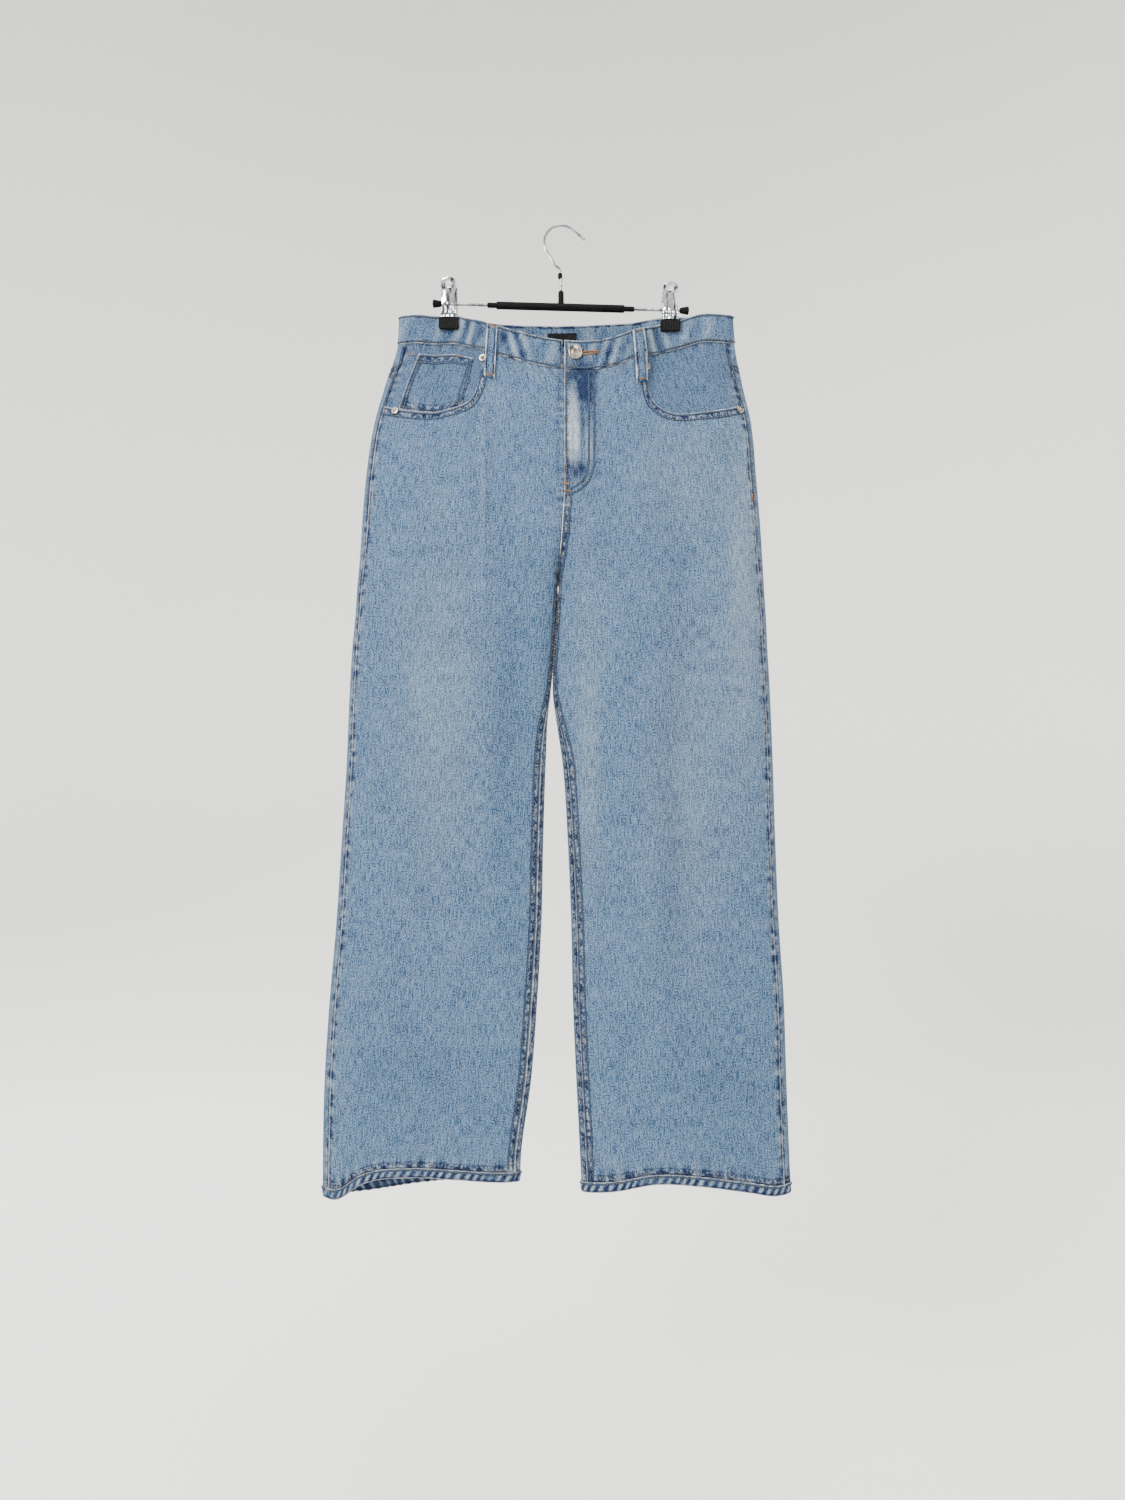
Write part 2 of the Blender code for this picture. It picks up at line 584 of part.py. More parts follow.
def build_fly():
    """The fly shield behind the front, and the closed zip that lies between it and the front."""
    down = np.linspace(0, 1, 8)[:, None]
    across = np.linspace(0, 1, 4)[None, :]
    z = BAND_FOOT - SHIELD["top_drop"] + (FLY_FOOT - BAND_FOOT) * down + 0 * across
    x = FLY_X - SHIELD["start"] + across * (FLY_WIDTH + SHIELD["wider"] - SHIELD["taper"] * down ** 3)
    points = outward_columns(patch_points("right", "front", x, z, -SHIELD["behind"]), "front")
    grid_object("fly_shield", points, DENIM, DENIM_BLUE)
    sides = np.array([[-1.0, 0.0, 1.0]])
    x = FLY_X + ZIP_IN + ZIP["half_width"] * sides + 0 * z[:, :3]
    points = outward_columns(patch_points("right", "front", x, z[:, :3], -ZIP["behind"]), "front")
    grid_object("zip", points, ZIP_CLOTH, ZIP_METAL)
    x = FLY_X + ZIP_IN + SLIDER["half_width"] * sides * np.ones((3, 1))
    z = BAND_FOOT - np.array(SLIDER["drops"])[:, None] + 0 * x
    points = outward_columns(patch_points("right", "front", x, z, -SLIDER["behind"]), "front")
    grid_object("zip_slider", points, ZIP_CLOTH, ZIP_METAL)


def build_label():
    """The bare black label inside the back of the band."""
    x = np.linspace(*LABEL_ENDS, 4)[None, :] + np.zeros((3, 1))
    z = np.array(LABEL_HEIGHTS)[:, None] + 0 * x
    points = patch_points("right", "back", x, z, -(BAND_CLOTH - BAND_PROUD) - LABEL_GAP)
    grid_object("label", outward_columns(points, "back"), LABEL_CLOTH, BLACK)


def turned(name, profile, segments, material):
    """A turned piece about its own +Z, from a profile with a Screw modifier. The profile runs down."""
    mesh = bpy.data.meshes.new(name)
    points = [(radius, 0.0, height) for radius, height in reversed(profile)]
    mesh.from_pydata(points, [(i, i + 1) for i in range(len(points) - 1)], [])
    result = add_object(name, mesh, material)
    screw = result.modifiers.new("Turn", "SCREW")
    screw.steps = segments
    screw.render_steps = segments
    screw.use_merge_vertices = True
    screw.merge_threshold = 0.00001
    screw.use_smooth_shade = True
    return result


def seat_on_front(result, side, x, z, lift):
    """Place a turned piece on the front, with its +Z along the outward normal."""
    point, normal, _ = surface_frame(side, "front", np.array(x), np.array(z))
    result.location = Vector(point + normal * lift)
    result.rotation_euler = Vector(normal).to_track_quat("Z", "Y").to_euler()


def build_fittings():
    """The button and the four pocket rivets."""
    button = turned("button", BUTTON_PROFILE, 24, SILVER)
    seat_on_front(button, "right", BUTTON_X, WAIST_TOP - BAND_HEIGHT * 0.42, BAND_PROUD + 0.0005)
    for name, side, x, z in RIVET_PLACES:
        seat_on_front(turned(name, RIVET_PROFILE, 14, SILVER), side, x, z, RIVET_GAP)


def bar_z(x):
    """Height of the tilted bar's centre line."""
    return BAR_HEIGHT - x * tan(BAR_TILT)


def tube(name, points, radius, material, resolution=2):
    """A wire or rod along points, with closed ends."""
    curve = bpy.data.curves.new(name, "CURVE")
    curve.dimensions = "3D"
    curve.bevel_depth = radius
    curve.bevel_resolution = resolution
    curve.use_fill_caps = True
    spline = curve.splines.new("POLY")
    spline.points.add(len(points) - 1)
    for place, point in zip(spline.points, points):
        place.co = (*point, 1.0)
    curve.materials.append(material)
    result = bpy.data.objects.new(name, curve)
    MODEL.objects.link(result)
    return result


def hook_points():
    """The hook from its tip, round the circle and down the neck."""
    angles = [radians(degrees) for degrees in HOOK_DEGREES]
    circle = [HOOK_CENTRE + HOOK_RADIUS * Vector((cos(angle), 0, sin(angle))) for angle in angles]
    return [HOOK_TIP, HOOK_TIP.lerp(circle[0], 0.5), *circle, *HOOK_BENDS, NECK_TOP, NECK_FOOT]


def ring(name, start, end, outer, wall, material):
    """A short sleeve around a straight line from start to end, open along its middle."""
    axis = (end - start).normalized()
    side = axis.orthogonal().normalized()
    other = axis.cross(side)
    rows = []
    for place in (start, end):
        angles = [2 * pi * step / 14 for step in range(14)]
        rows.append([place + outer * (side * cos(a) - other * sin(a)) for a in angles])
    points = np.array([[tuple(point) for point in row] for row in rows])
    return grid_object(name, points, wall, material, closed=True)


def build_hanger():
    """Hook, stem, bar, sockets, arms and end caps."""
    tube("hanger_hook", hook_points(), WIRE, CHROME)
    down = (NECK_FOOT - NECK_TOP).normalized()
    ring("hook_sleeve", NECK_TOP + down * SLEEVE["start"], NECK_TOP + down * SLEEVE["end"],
         SLEEVE["radius"], SLEEVE["wall"], BLACK)
    stem_foot = Vector((NECK_FOOT.x, 0, bar_z(NECK_FOOT.x) + BAR_RADIUS + 0.0004))
    tube("hanger_stem", [Vector((NECK_FOOT.x, 0, STEM_TOP)), stem_foot], STEM_RADIUS, BLACK, 3)
    ends = [Vector((x, 0, bar_z(x))) for x in (BAR_ENDS["left"], BAR_ENDS["right"])]
    tube("hanger_bar", ends, BAR_RADIUS, BLACK, 3)
    for side, sign in (("left", -1), ("right", 1)):
        gap = sign * SEAM_GAP
        spans = {
            "socket": (BAR_ENDS[side] + gap, SOCKET_ENDS[side], SOCKET_RADIUS, BLACK),
            "arm": (SOCKET_ENDS[side] + gap, CAP_INNER[side] - gap, ARM_RADIUS, CHROME),
        }
        for kind, (start, end, radius, material) in spans.items():
            line = [Vector((x, 0, bar_z(x))) for x in (start, end)]
            tube(side + "_" + kind, line, radius, material)
        middle = CAP_INNER[side] + sign * CAP_LENGTH / 2
        bpy.ops.mesh.primitive_cone_add(vertices=16, radius1=CAP_RADII[0], radius2=CAP_RADII[1], depth=CAP_LENGTH,
                                        location=(middle, 0, bar_z(middle)), rotation=(0, sign * pi / 2, 0))
        cap = bpy.context.active_object
        cap.name = cap.data.name = side + "_end_cap"
        cap.data.materials.append(BLACK)
        move_to_model(cap)


def move_to_model(result):
    """Put an object that an operator made into the model's collection."""
    for holder in list(result.users_collection):
        holder.objects.unlink(result)
    MODEL.objects.link(result)


def pad_seat(side, face):
    """Y of the cloth's outermost point under a clip's pad."""
    centre = CLIP_X[side] / 1000
    x, z = np.meshgrid(np.linspace(-0.5, 0.5, 9) * PAD_WIDTH + centre, np.linspace(WAIST_TOP, WAIST_TOP - 0.03, 9))
    y = face_y(side, face, x, z)
    return y.min() - BAND_PROUD - PAD_GAP if face == "front" else y.max() + BAND_PROUD + PAD_GAP


def build_clip(side):
    """One sprung clip: two chrome jaws, the spring on the arm and two rubber pads."""
    centre = CLIP_X[side] / 1000
    arm_z = bar_z(centre)
    for face, sign in (("front", -1), ("back", 1)):
        seat = pad_seat(side, face)
        bpy.ops.mesh.primitive_cube_add(size=1, location=(centre, seat + sign * PAD_THICK / 2,
                                                          PAD_TOP[side] - PAD_HEIGHT / 2))
        pad = bpy.context.active_object
        pad.name = pad.data.name = side + "_clip_pad_" + face
        pad.scale = (PAD_WIDTH, PAD_THICK, PAD_HEIGHT)
        bpy.ops.object.transform_apply(location=False, rotation=False, scale=True)
        pad.data.materials.append(BLACK)
        edge = pad.modifiers.new("Edge", "BEVEL")
        edge.width = PAD_EDGE
        edge.segments = 2
        move_to_model(pad)
        foot_y = seat + sign * (PAD_THICK * 0.75)
        heights = np.array([CLIP_TOP[side], CLIP_TOP[side] - 0.004, CLIP_TOP[side] - 0.012, arm_z + 0.005,
                            arm_z - 0.004, PAD_TOP[side] + 0.004, PAD_TOP[side] + SEAM_GAP])
        y = np.concatenate([sign * np.array(JAW_SPREADS), [foot_y, foot_y]])
        widths = np.array(JAW_WIDTHS) * CLIP_WIDTH
        across = np.linspace(-0.5, 0.5, 7)
        points = np.array([[(centre + part * wide, place + sign * JAW_ARCH * cos(pi * part), high)
                            for part in across] for high, place, wide in zip(heights, y, widths)])
        grid_object(side + "_clip_jaw_" + face, outward_columns(points, face), JAW_CLOTH, CHROME)
    reach = CLIP_WIDTH * SPRING_SHARE
    start, end = (Vector((x, 0, bar_z(x))) for x in (centre - reach, centre + reach))
    ring(side + "_clip_spring", start, end, SPRING_RADIUS, SPRING_RADIUS - ARM_RADIUS - SPRING_GAP, CHROME)


def main():
    """Build the whole model."""
    for side in ("left", "right"):
        facing, back_panel = build_panels(side)
        build_back_pocket(side, back_panel)
        build_hem(side)
        if side == "left":
            build_coin_pocket(facing)
    build_waistband()
    for place in LOOP_PLACES:
        build_belt_loop(*place)
    build_fly()
    build_label()
    build_fittings()
    build_hanger()
    for side in ("left", "right"):
        build_clip(side)


for existing in list(bpy.data.objects):
    bpy.data.objects.remove(existing, do_unlink=True)
MODEL = bpy.data.collections.new("jeans_on_clip_hanger")
bpy.context.scene.collection.children.link(MODEL)
DENIM_BLUE = make_material("Denim", (0.36, 0.48, 0.62), 0.9)
CHROME = make_material("Chrome", (0.80, 0.80, 0.82), 0.12, 1.0)
SILVER = make_material("Fittings", (0.72, 0.71, 0.69), 0.3, 1.0)
ZIP_METAL = make_material("Zip", (0.70, 0.66, 0.55), 0.35, 1.0)
BLACK = make_material("Black plastic", (0.015, 0.015, 0.016), 0.4)
main()
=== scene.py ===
"""Looks of the light blue jeans on a clip hanger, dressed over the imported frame.

Metres, +Z up. The cloth is worked out once as four maps, one for the front and one for the back of
each side. A map gives the world point at a share of the way from the side seam to the centre or the
inseam, and at a height in the garment. Panels, seams, pockets, loops and stitches are read from them.
"""

import bmesh
import bpy
import numpy as np
from bpy.props import FloatProperty, FloatVectorProperty, PointerProperty
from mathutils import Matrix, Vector


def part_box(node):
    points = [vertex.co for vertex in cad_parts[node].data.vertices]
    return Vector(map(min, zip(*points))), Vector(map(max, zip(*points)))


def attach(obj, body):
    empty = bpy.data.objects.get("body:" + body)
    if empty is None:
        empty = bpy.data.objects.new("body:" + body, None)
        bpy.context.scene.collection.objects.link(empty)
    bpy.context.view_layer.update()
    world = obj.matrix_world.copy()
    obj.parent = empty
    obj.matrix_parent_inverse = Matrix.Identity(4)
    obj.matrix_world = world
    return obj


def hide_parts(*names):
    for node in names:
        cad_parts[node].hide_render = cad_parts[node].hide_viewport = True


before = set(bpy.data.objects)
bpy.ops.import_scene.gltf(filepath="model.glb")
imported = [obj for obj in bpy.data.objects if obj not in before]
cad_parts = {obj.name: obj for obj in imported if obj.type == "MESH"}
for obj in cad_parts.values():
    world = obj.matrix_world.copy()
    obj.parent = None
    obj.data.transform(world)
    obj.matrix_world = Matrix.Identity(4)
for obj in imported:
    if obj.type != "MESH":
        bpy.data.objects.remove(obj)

bl_info = {
    "name": "Jeans on a clip hanger",
    "version": (1, 0, 0),
    "blender": (4, 5, 0),
    "location": "View3D > Sidebar > Jeans",
    "description": "Builds stonewashed jeans, their sewing and their clip hanger over a packed frame",
    "category": "Object",
}

# Cloth, as in the frame
DENIM = 0.0012
BAND_CLOTH = 0.0024
HEM_CLOTH = 0.0024
BAND_PROUD = 0.0006
WAIST_TOP = -0.1047
BAND_FOOT = -0.1377
PANEL_TOP = -0.1383
CROTCH = -0.420
CLEFT_TOP = -0.320
HEM_TOP = -1.096
HEM_END = -1.108
HEM_TURN_START = -0.960
SIDE_SEAM_IN = 0.013
INSEAM_IN = 0.011
INSEAM_START = -0.500
INSEAM_TURN = 0.120

# Millimetres from the hook seat
OUTLINE_COLUMNS = ("height", "left_out", "left_in", "right_in", "right_out", "front", "back",
                   "leg_front", "leg_back")
OUTLINE = (
    (-100, -188, 2.8, 3.2, 199, 26, 10, 20, 12),
    (-138, -190, 2.8, 3.2, 201, 27, 12, 21, 14),
    (-186, -205, 2.8, 3.2, 210, 28, 17, 22, 18),
    (-224, -216, 2.8, 3.2, 219, 28, 21, 23, 20),
    (-293, -227, 2.7, 3.3, 226, 28, 25, 24, 23),
    (-340, -231, 0.7, 1.5, 230, 28, 26, 24, 24),
    (-386, -234, -2.6, -1.5, 233, 28, 26, 24, 24),
    (-420, -237, -4.3, -3.4, 235, 28, 26, 24, 24),
    (-450, -239, -6.0, -5.1, 237, 27, 25, 24, 24),
    (-492, -243, -8.9, -7.9, 239, 26.5, 24.5, 23.5, 23.5),
    (-525, -245, -11.2, -9.9, 241, 26, 24, 23, 23),
    (-545, -246, -13.0, -10.0, 242, 26, 24, 23, 22.5),
    (-568, -247, -15.6, -7.0, 243, 26, 24, 23, 22),
    (-618, -249, -18.0, 0.5, 245, 25, 23, 22, 22),
    (-711, -255, -21, 7, 248, 24, 22, 21, 21),
    (-804, -261, -23, 11, 252, 23, 22, 20, 20),
    (-897, -269, -28, 13, 258, 22, 21, 19, 19),
    (-989, -275, -35, 17, 261, 21, 20, 18, 18),
    (-1082, -277, -47, 22, 265, 20, 19, 18, 17),
    (-1125, -277, -48, 24, 267, 20, 19, 18, 17),
)
DROOP_COLUMNS = ("x", "drop")
FRONT_DROOP = ((-190, 0), (-150, 0), (-118, 1), (-92, 13), (-71, 20), (-38, 29), (0, 36), (28, 37),
               (49, 35), (80, 25), (111, 12), (129, 7), (152, 1), (200, -1))
BACK_DROOP = ((-190, 0), (-150, 0), (-110, 1), (-71, 5), (0, 7), (58, 5), (118, 1), (152, 0), (200, -1))
SAG_COLUMNS = ("across", "left_front", "left_back", "right_front", "right_back")
HEM_SAG = (
    (0.00, 15, 15, 11, 11),
    (0.08, 16, 17, 12, 9),
    (0.20, -2, 16, 7, 7),
    (0.45, -11, 8, -1, 5),
    (0.65, -9, 3, -3, 5),
    (0.85, -5, 0, 6, 7),
    (1.00, -2, -2, 10, 10),
)

# Folds and creases, millimetres: a line from (x, z) at the top to (x, z) at the foot. A positive depth
# is a trough and a negative one a ridge. The first rows are the frame's own folds.
FOLD_COLUMNS = ("side", "face", "x_top", "z_top", "x_foot", "z_foot", "width", "depth")
FOLDS = (
    ("left", "front", -72, -205, -62, -390, 9, 2.6),
    ("left", "front", -86, -190, -84, -430, 5, -1.2),
    ("left", "front", -50, -430, -56, -715, 16, 3.2),
    ("left", "front", -132, -590, -150, -940, 26, 2.4),
    ("left", "front", -185, -235, -110, -300, 9, -1.6),
    ("left", "front", -208, -960, -190, -1080, 14, 2.0),
    ("right", "front", 112, -230, 150, -520, 14, 2.2),
    ("right", "front", 116, -590, 146, -850, 17, 3.2),
    ("right", "front", 150, -830, 232, -1075, 17, 2.8),
    ("right", "front", 36, -560, 50, -960, 20, 1.8),
    ("left", "back", -150, -400, -120, -640, 20, 3.0),
    ("left", "back", -90, -560, -130, -900, 18, 2.6),
    ("left", "back", -60, -330, -170, -420, 12, 2.2),
    ("left", "back", -200, -820, -160, -1060, 16, 2.2),
    ("right", "back", 140, -420, 110, -700, 20, 3.0),
    ("right", "back", 70, -600, 120, -930, 17, 2.6),
    ("right", "back", 60, -335, 165, -415, 12, 2.2),
    ("right", "back", 190, -800, 210, -1050, 15, 2.0),
)
CREASES = (
    ("left", "front", -86, -200, -84, -455, 2.2, 1.6),
    ("left", "front", -78, -230, -74, -420, 3.0, 0.8),
    ("left", "front", -176, -232, -128, -262, 4.0, 0.8),
    ("left", "front", -196, -300, -160, -352, 5.0, 0.7),
    ("left", "front", -30, -300, -66, -345, 5.0, 0.7),
    ("left", "front", -18, -372, -70, -430, 6.0, 0.9),
    ("left", "front", -28, -520, -48, -640, 6.0, 0.8),
    ("left", "front", -112, -470, -126, -640, 9.0, 0.8),
    ("left", "front", -90, -820, -100, -1010, 10.0, 0.8),
    ("left", "front", -240, -650, -226, -800, 6.0, 0.6),
    ("left", "front", -236, -1010, -215, -1085, 5.0, 0.8),
    ("left", "front", -70, -1020, -92, -1090, 5.0, 0.6),
    ("right", "front", 88, -205, 100, -330, 4.0, 0.7),
    ("right", "front", 30, -300, 74, -352, 5.0, 0.7),
    ("right", "front", 14, -375, 66, -440, 6.0, 0.9),
    ("right", "front", 196, -240, 150, -272, 4.0, 0.6),
    ("right", "front", 214, -330, 178, -380, 5.0, 0.7),
    ("right", "front", 124, -640, 140, -800, 5.0, 0.9),
    ("right", "front", 176, -900, 226, -1040, 6.0, -0.8),
    ("right", "front", 70, -860, 84, -1040, 9.0, 0.8),
    ("right", "front", 204, -520, 214, -700, 8.0, 0.7),
    ("right", "front", 118, -1010, 140, -1085, 7.0, 0.7),
    ("left", "back", -30, -395, -120, -452, 7.0, 1.0),
    ("left", "back", -200, -420, -130, -480, 7.0, 0.8),
    ("left", "back", -160, -660, -176, -860, 9.0, 0.9),
    ("left", "back", -70, -900, -90, -1060, 8.0, 0.8),
    ("right", "back", 32, -400, 118, -455, 7.0, 1.0),
    ("right", "back", 205, -430, 140, -490, 7.0, 0.8),
    ("right", "back", 170, -640, 186, -840, 9.0, 0.9),
    ("right", "back", 80, -880, 92, -1050, 8.0, 0.8),
)
CLIP_X = {"left": -130.0, "right": 125.5}
PINCH = 0.80
PINCH_WIDTH = 30.0
PINCH_HOLD = 0.020
PINCH_FADE = 0.130
SIDE_DEPTH = 0.50
HIP_BLUNT = 3.6
LEG_BLUNT = 3.8

# Seams and pockets
POCKET_SHARE = 0.515
POCKET_DEPTH = 0.088
POCKET_RISE = 0.015
POCKET_BLUNT = 4.0
FACING_BELOW = 0.016
FACING_GAP = 0.0007
FACING_ABOVE = 0.0040
YOKE_SIDE_DROP = 0.034
YOKE_CENTRE_DROP = 0.072
FLY_X = 0.003

# Map ladder
MAP_TOP = -0.1000
MAP_FOOT = -1.1140
MAP_LEVELS = 420
MAP_SHARES = 181
LOOP_SAMPLES = 161


def smooth_step(value):
    """Rise from 0 to 1 with level ends."""
    t = np.clip(value, 0.0, 1.0)
    return t * t * (3.0 - 2.0 * t)


def smooth_cubic(t, step, low_value, high_value, low_slope, high_slope):
    """A cubic from one knot to the next, with a set slope at both; t is the share of the step."""
    start = (1 + 2 * t) * (1 - t) ** 2 * low_value + t * (1 - t) ** 2 * step * low_slope
    end = t * t * (3 - 2 * t) * high_value + t * t * (t - 1) * step * high_slope
    return start + end


def running_length(points):
    """Distance along a line of points, from its first."""
    return np.concatenate([[0], np.cumsum(np.linalg.norm(np.diff(points, axis=0), axis=1))])


def table_value(table, columns, name, key):
    """A named column of a table at key, by a smooth cubic through its rows."""
    rows = np.array(table, dtype=float)
    knots, values = rows[:, 0], rows[:, columns.index(name)]
    if knots[0] > knots[-1]:
        knots, values = knots[::-1], values[::-1]
    slopes = np.gradient(values, knots)
    key = np.clip(key, knots[0], knots[-1])
    low = np.clip(np.searchsorted(knots, key) - 1, 0, len(knots) - 2)
    step = knots[low + 1] - knots[low]
    t = (key - knots[low]) / step
    return smooth_cubic(t, step, values[low], values[low + 1], slopes[low], slopes[low + 1])


def outline(name, z):
    """A column of the outline at garment height z, in metres."""
    return table_value(OUTLINE, OUTLINE_COLUMNS, name, np.asarray(z) * 1000.0) / 1000.0


def lens(t, blunt):
    """Depth of a flattened tube across its width: the root of 1 less |t| to the power blunt."""
    return np.sqrt(np.clip(1.0 - np.abs(t) ** blunt, 0.0, 1.0))


def pinch_factor(x, z):
    """Share of the depth that the clips leave at x, with a flat spot under each clip."""
    x_mm = x * 1000.0
    fade = 1 - smooth_step((WAIST_TOP - PINCH_HOLD - z) / PINCH_FADE)
    near = sum(np.exp(-((x_mm - place) / PINCH_WIDTH) ** 4) for place in CLIP_X.values())
    inside = smooth_step((x_mm - CLIP_X["left"] + 20) / 40) * smooth_step((CLIP_X["right"] + 20 - x_mm) / 40)
    side = SIDE_DEPTH + (1 - SIDE_DEPTH) * inside
    return (1 - PINCH * fade * near) * (1 + (side - 1) * fade)


def fold_depth(side, face, x, z):
    """Sum of Gaussian troughs and ridges along the fold lines, faded at their ends, in metres."""
    total = np.zeros(np.broadcast(x, z).shape)
    for row in FOLDS + CREASES:
        fold = dict(zip(FOLD_COLUMNS, row))
        if (fold["side"], fold["face"]) != (side, face):
            continue
        along = (z * 1000 - fold["z_top"]) / (fold["z_foot"] - fold["z_top"])
        wander = 0.16 * fold["width"] * np.sin(along * 7.0 + fold["x_top"])
        line = fold["x_top"] + (fold["x_foot"] - fold["x_top"]) * along + wander
        window = smooth_step(along / 0.3 + 0.3) * smooth_step((1 - along) / 0.3 + 0.3)
        total = total + fold["depth"] * window * np.exp(-((x * 1000 - line) / fold["width"]) ** 2)
    return total / 1000.0


def face_y(side, face, x, z):
    """Y of a face: the hips' lens above, blended into the leg's own lens towards the crotch."""
    left, right = outline("left_out", z), outline("right_out", z)
    hips = lens((x - (left + right) / 2) / ((right - left) / 2), HIP_BLUNT) * pinch_factor(x, z)
    outer, inner = outline(side + "_out", z), outline(side + "_in", z)
    across = (x - (outer + inner) / 2) / (np.abs(outer - inner) / 2)
    cleft = smooth_step((CLEFT_TOP - z) / (CLEFT_TOP - CROTCH)) ** 2
    legs = lens(across, LEG_BLUNT) * outline("leg_" + face, z)
    depth = (1 - cleft) * hips * outline(face, z) + cleft * legs
    outer_half = np.where((x - (outer + inner) / 2) * (outer - inner) > 0, 1.0, 0.0)
    edge = 1 - np.abs(across) ** 6 * np.maximum(outer_half, cleft)
    depth = depth - fold_depth(side, face, x, z) * np.clip(edge, 0, 1)
    return np.where(face == "front", -depth, depth)


def hang(side, face, x, z):
    """World height of a place on a face, with the droop of the waist and the sag of the hem."""
    droop = table_value(FRONT_DROOP if face == "front" else BACK_DROOP, DROOP_COLUMNS, "drop", x * 1000)
    fade = 1 - smooth_step((BAND_FOOT - z) / (BAND_FOOT - CROTCH))
    outer, inner = outline(side + "_out", z), outline(side + "_in", z)
    across = np.clip((x - outer) / (inner - outer), 0, 1)
    sag = table_value(HEM_SAG, SAG_COLUMNS, side + "_" + face, across)
    turn = smooth_step((HEM_TURN_START - z) / (HEM_TURN_START - HEM_END)) ** 1.5
    return z - droop * fade / 1000.0 - sag * turn / 1000.0


def cloth_maps(side):
    """Front and back maps of a side: world points for a ladder of garment heights and even shares.
    Each level's section is a closed loop, measured from its inner edge over the front to the fold and
    back; the side seam and the inseam lie at set lengths round the folds from their tips."""
    z = np.linspace(MAP_TOP, MAP_FOOT, MAP_LEVELS)[:, None]
    outer, inner = outline(side + "_out", z), outline(side + "_in", z)
    t = np.linspace(0, np.pi, LOOP_SAMPLES)[None, :]
    x = (outer + inner) / 2 - (outer - inner) / 2 * np.cos(t)
    level = z + 0 * x
    loops = [np.stack([x, face_y(side, face, x, level), hang(side, face, x, level)], axis=-1)
             for face in ("front", "back")]
    points = np.concatenate([loops[0], loops[1][:, ::-1][:, 1:]], axis=1)
    steps = np.linalg.norm(np.diff(points[..., :2], axis=1), axis=-1)
    length = np.concatenate([np.zeros((MAP_LEVELS, 1)), np.cumsum(steps, axis=1)], axis=1)
    total, fold_at = length[:, -1:], length[:, LOOP_SAMPLES - 1:LOOP_SAMPLES]
    shift = INSEAM_IN * smooth_step((INSEAM_START - z) / INSEAM_TURN)
    seam = fold_at - SIDE_SEAM_IN
    share = np.linspace(0, 1, MAP_SHARES)[None, :]
    wanted = {"front": seam - share * (seam - shift), "back": seam + share * (total + shift - seam)}
    maps = {}
    for face, at in wanted.items():
        at = np.where(at > total + 1e-9, at - total, at)
        rows = [np.stack([np.interp(a, l, p[:, axis]) for axis in range(3)], axis=-1)
                for a, l, p in zip(at, length, points)]
        maps[face] = np.array(rows)
    return maps


MAPS = {side: cloth_maps(side) for side in ("left", "right")}


def map_point(side, face, share, z):
    """World points on a map at shares and garment heights, read between its four nearest points."""
    grid = MAPS[side][face]
    share, z = np.broadcast_arrays(np.asarray(share, float), np.asarray(z, float))
    row = np.clip((MAP_TOP - z) / (MAP_TOP - MAP_FOOT), 0, 1) * (MAP_LEVELS - 1)
    column = np.clip(share, 0, 1) * (MAP_SHARES - 1)
    top = np.minimum(row.astype(int), MAP_LEVELS - 2)
    left = np.minimum(column.astype(int), MAP_SHARES - 2)
    down, right = (row - top)[..., None], (column - left)[..., None]
    upper = grid[top, left] * (1 - right) + grid[top, left + 1] * right
    lower = grid[top + 1, left] * (1 - right) + grid[top + 1, left + 1] * right
    return upper * (1 - down) + lower * down


def map_frame(side, face, share, z):
    """Point, outward normal, direction across (rising share) and direction down on a map."""
    small, drop = 0.006, 0.003
    across = map_point(side, face, np.minimum(share + small, 1), z) - map_point(
        side, face, np.maximum(share - small, 0), z)
    down = map_point(side, face, share, z - drop) - map_point(side, face, share, z + drop)
    sign = 1.0 if (side == "left") == (face == "front") else -1.0
    normal = np.cross(down, across) * sign
    parts = [v / np.maximum(np.linalg.norm(v, axis=-1, keepdims=True), 1e-9) for v in (normal, across, down)]
    return map_point(side, face, share, z), parts[0], parts[1], parts[2]


def face_frame(side, face, x, z):
    """Point and outward normal of a face at x and a garment height."""
    x, z = np.broadcast_arrays(np.asarray(x, float), np.asarray(z, float))
    step = 0.0015

    def place(at_x, at_z):
        return np.stack([at_x, face_y(side, face, at_x, at_z), hang(side, face, at_x, at_z)], axis=-1)

    across = place(x + step, z) - place(x - step, z)
    down = place(x, z - step) - place(x, z + step)
    normal = np.cross(down, across) * (1.0 if face == "front" else -1.0)
    return place(x, z), normal / np.linalg.norm(normal, axis=-1, keepdims=True)


def garment_height(side, face, x, world_z):
    """Garment height of a place given by its world height, by repeated correction."""
    z = np.asarray(world_z, float)
    for _ in range(12):
        z = z + (world_z - hang(side, face, np.asarray(x, float), z))
    return z


def mouth_height(part):
    """Garment height of the pocket mouth: a blunt quarter curve, shallower at the side seam."""
    part = np.clip(part, 0, 1)
    scoop = (1 - part ** POCKET_BLUNT) ** (1 / POCKET_BLUNT)
    return PANEL_TOP - POCKET_DEPTH * scoop + POCKET_RISE * (1 - part) ** 2 * scoop


def yoke_height(share):
    """Garment height of the yoke seam, falling evenly from the side seam to the centre back."""
    return BAND_FOOT - YOKE_SIDE_DROP - (YOKE_CENTRE_DROP - YOKE_SIDE_DROP) * share


def new_piece(name, points, faces, look):
    """A mesh object at the origin from arrays of points and faces, with the finish of a look, riding on
    the root body."""
    mesh = bpy.data.meshes.new(name)
    mesh.from_pydata(points.reshape(-1, 3), [], faces)
    mesh.shade_smooth()
    mesh.materials.append(finish(look))
    piece = bpy.data.objects.new(name, mesh)
    bpy.context.scene.collection.objects.link(piece)
    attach(piece, "root")
    return piece


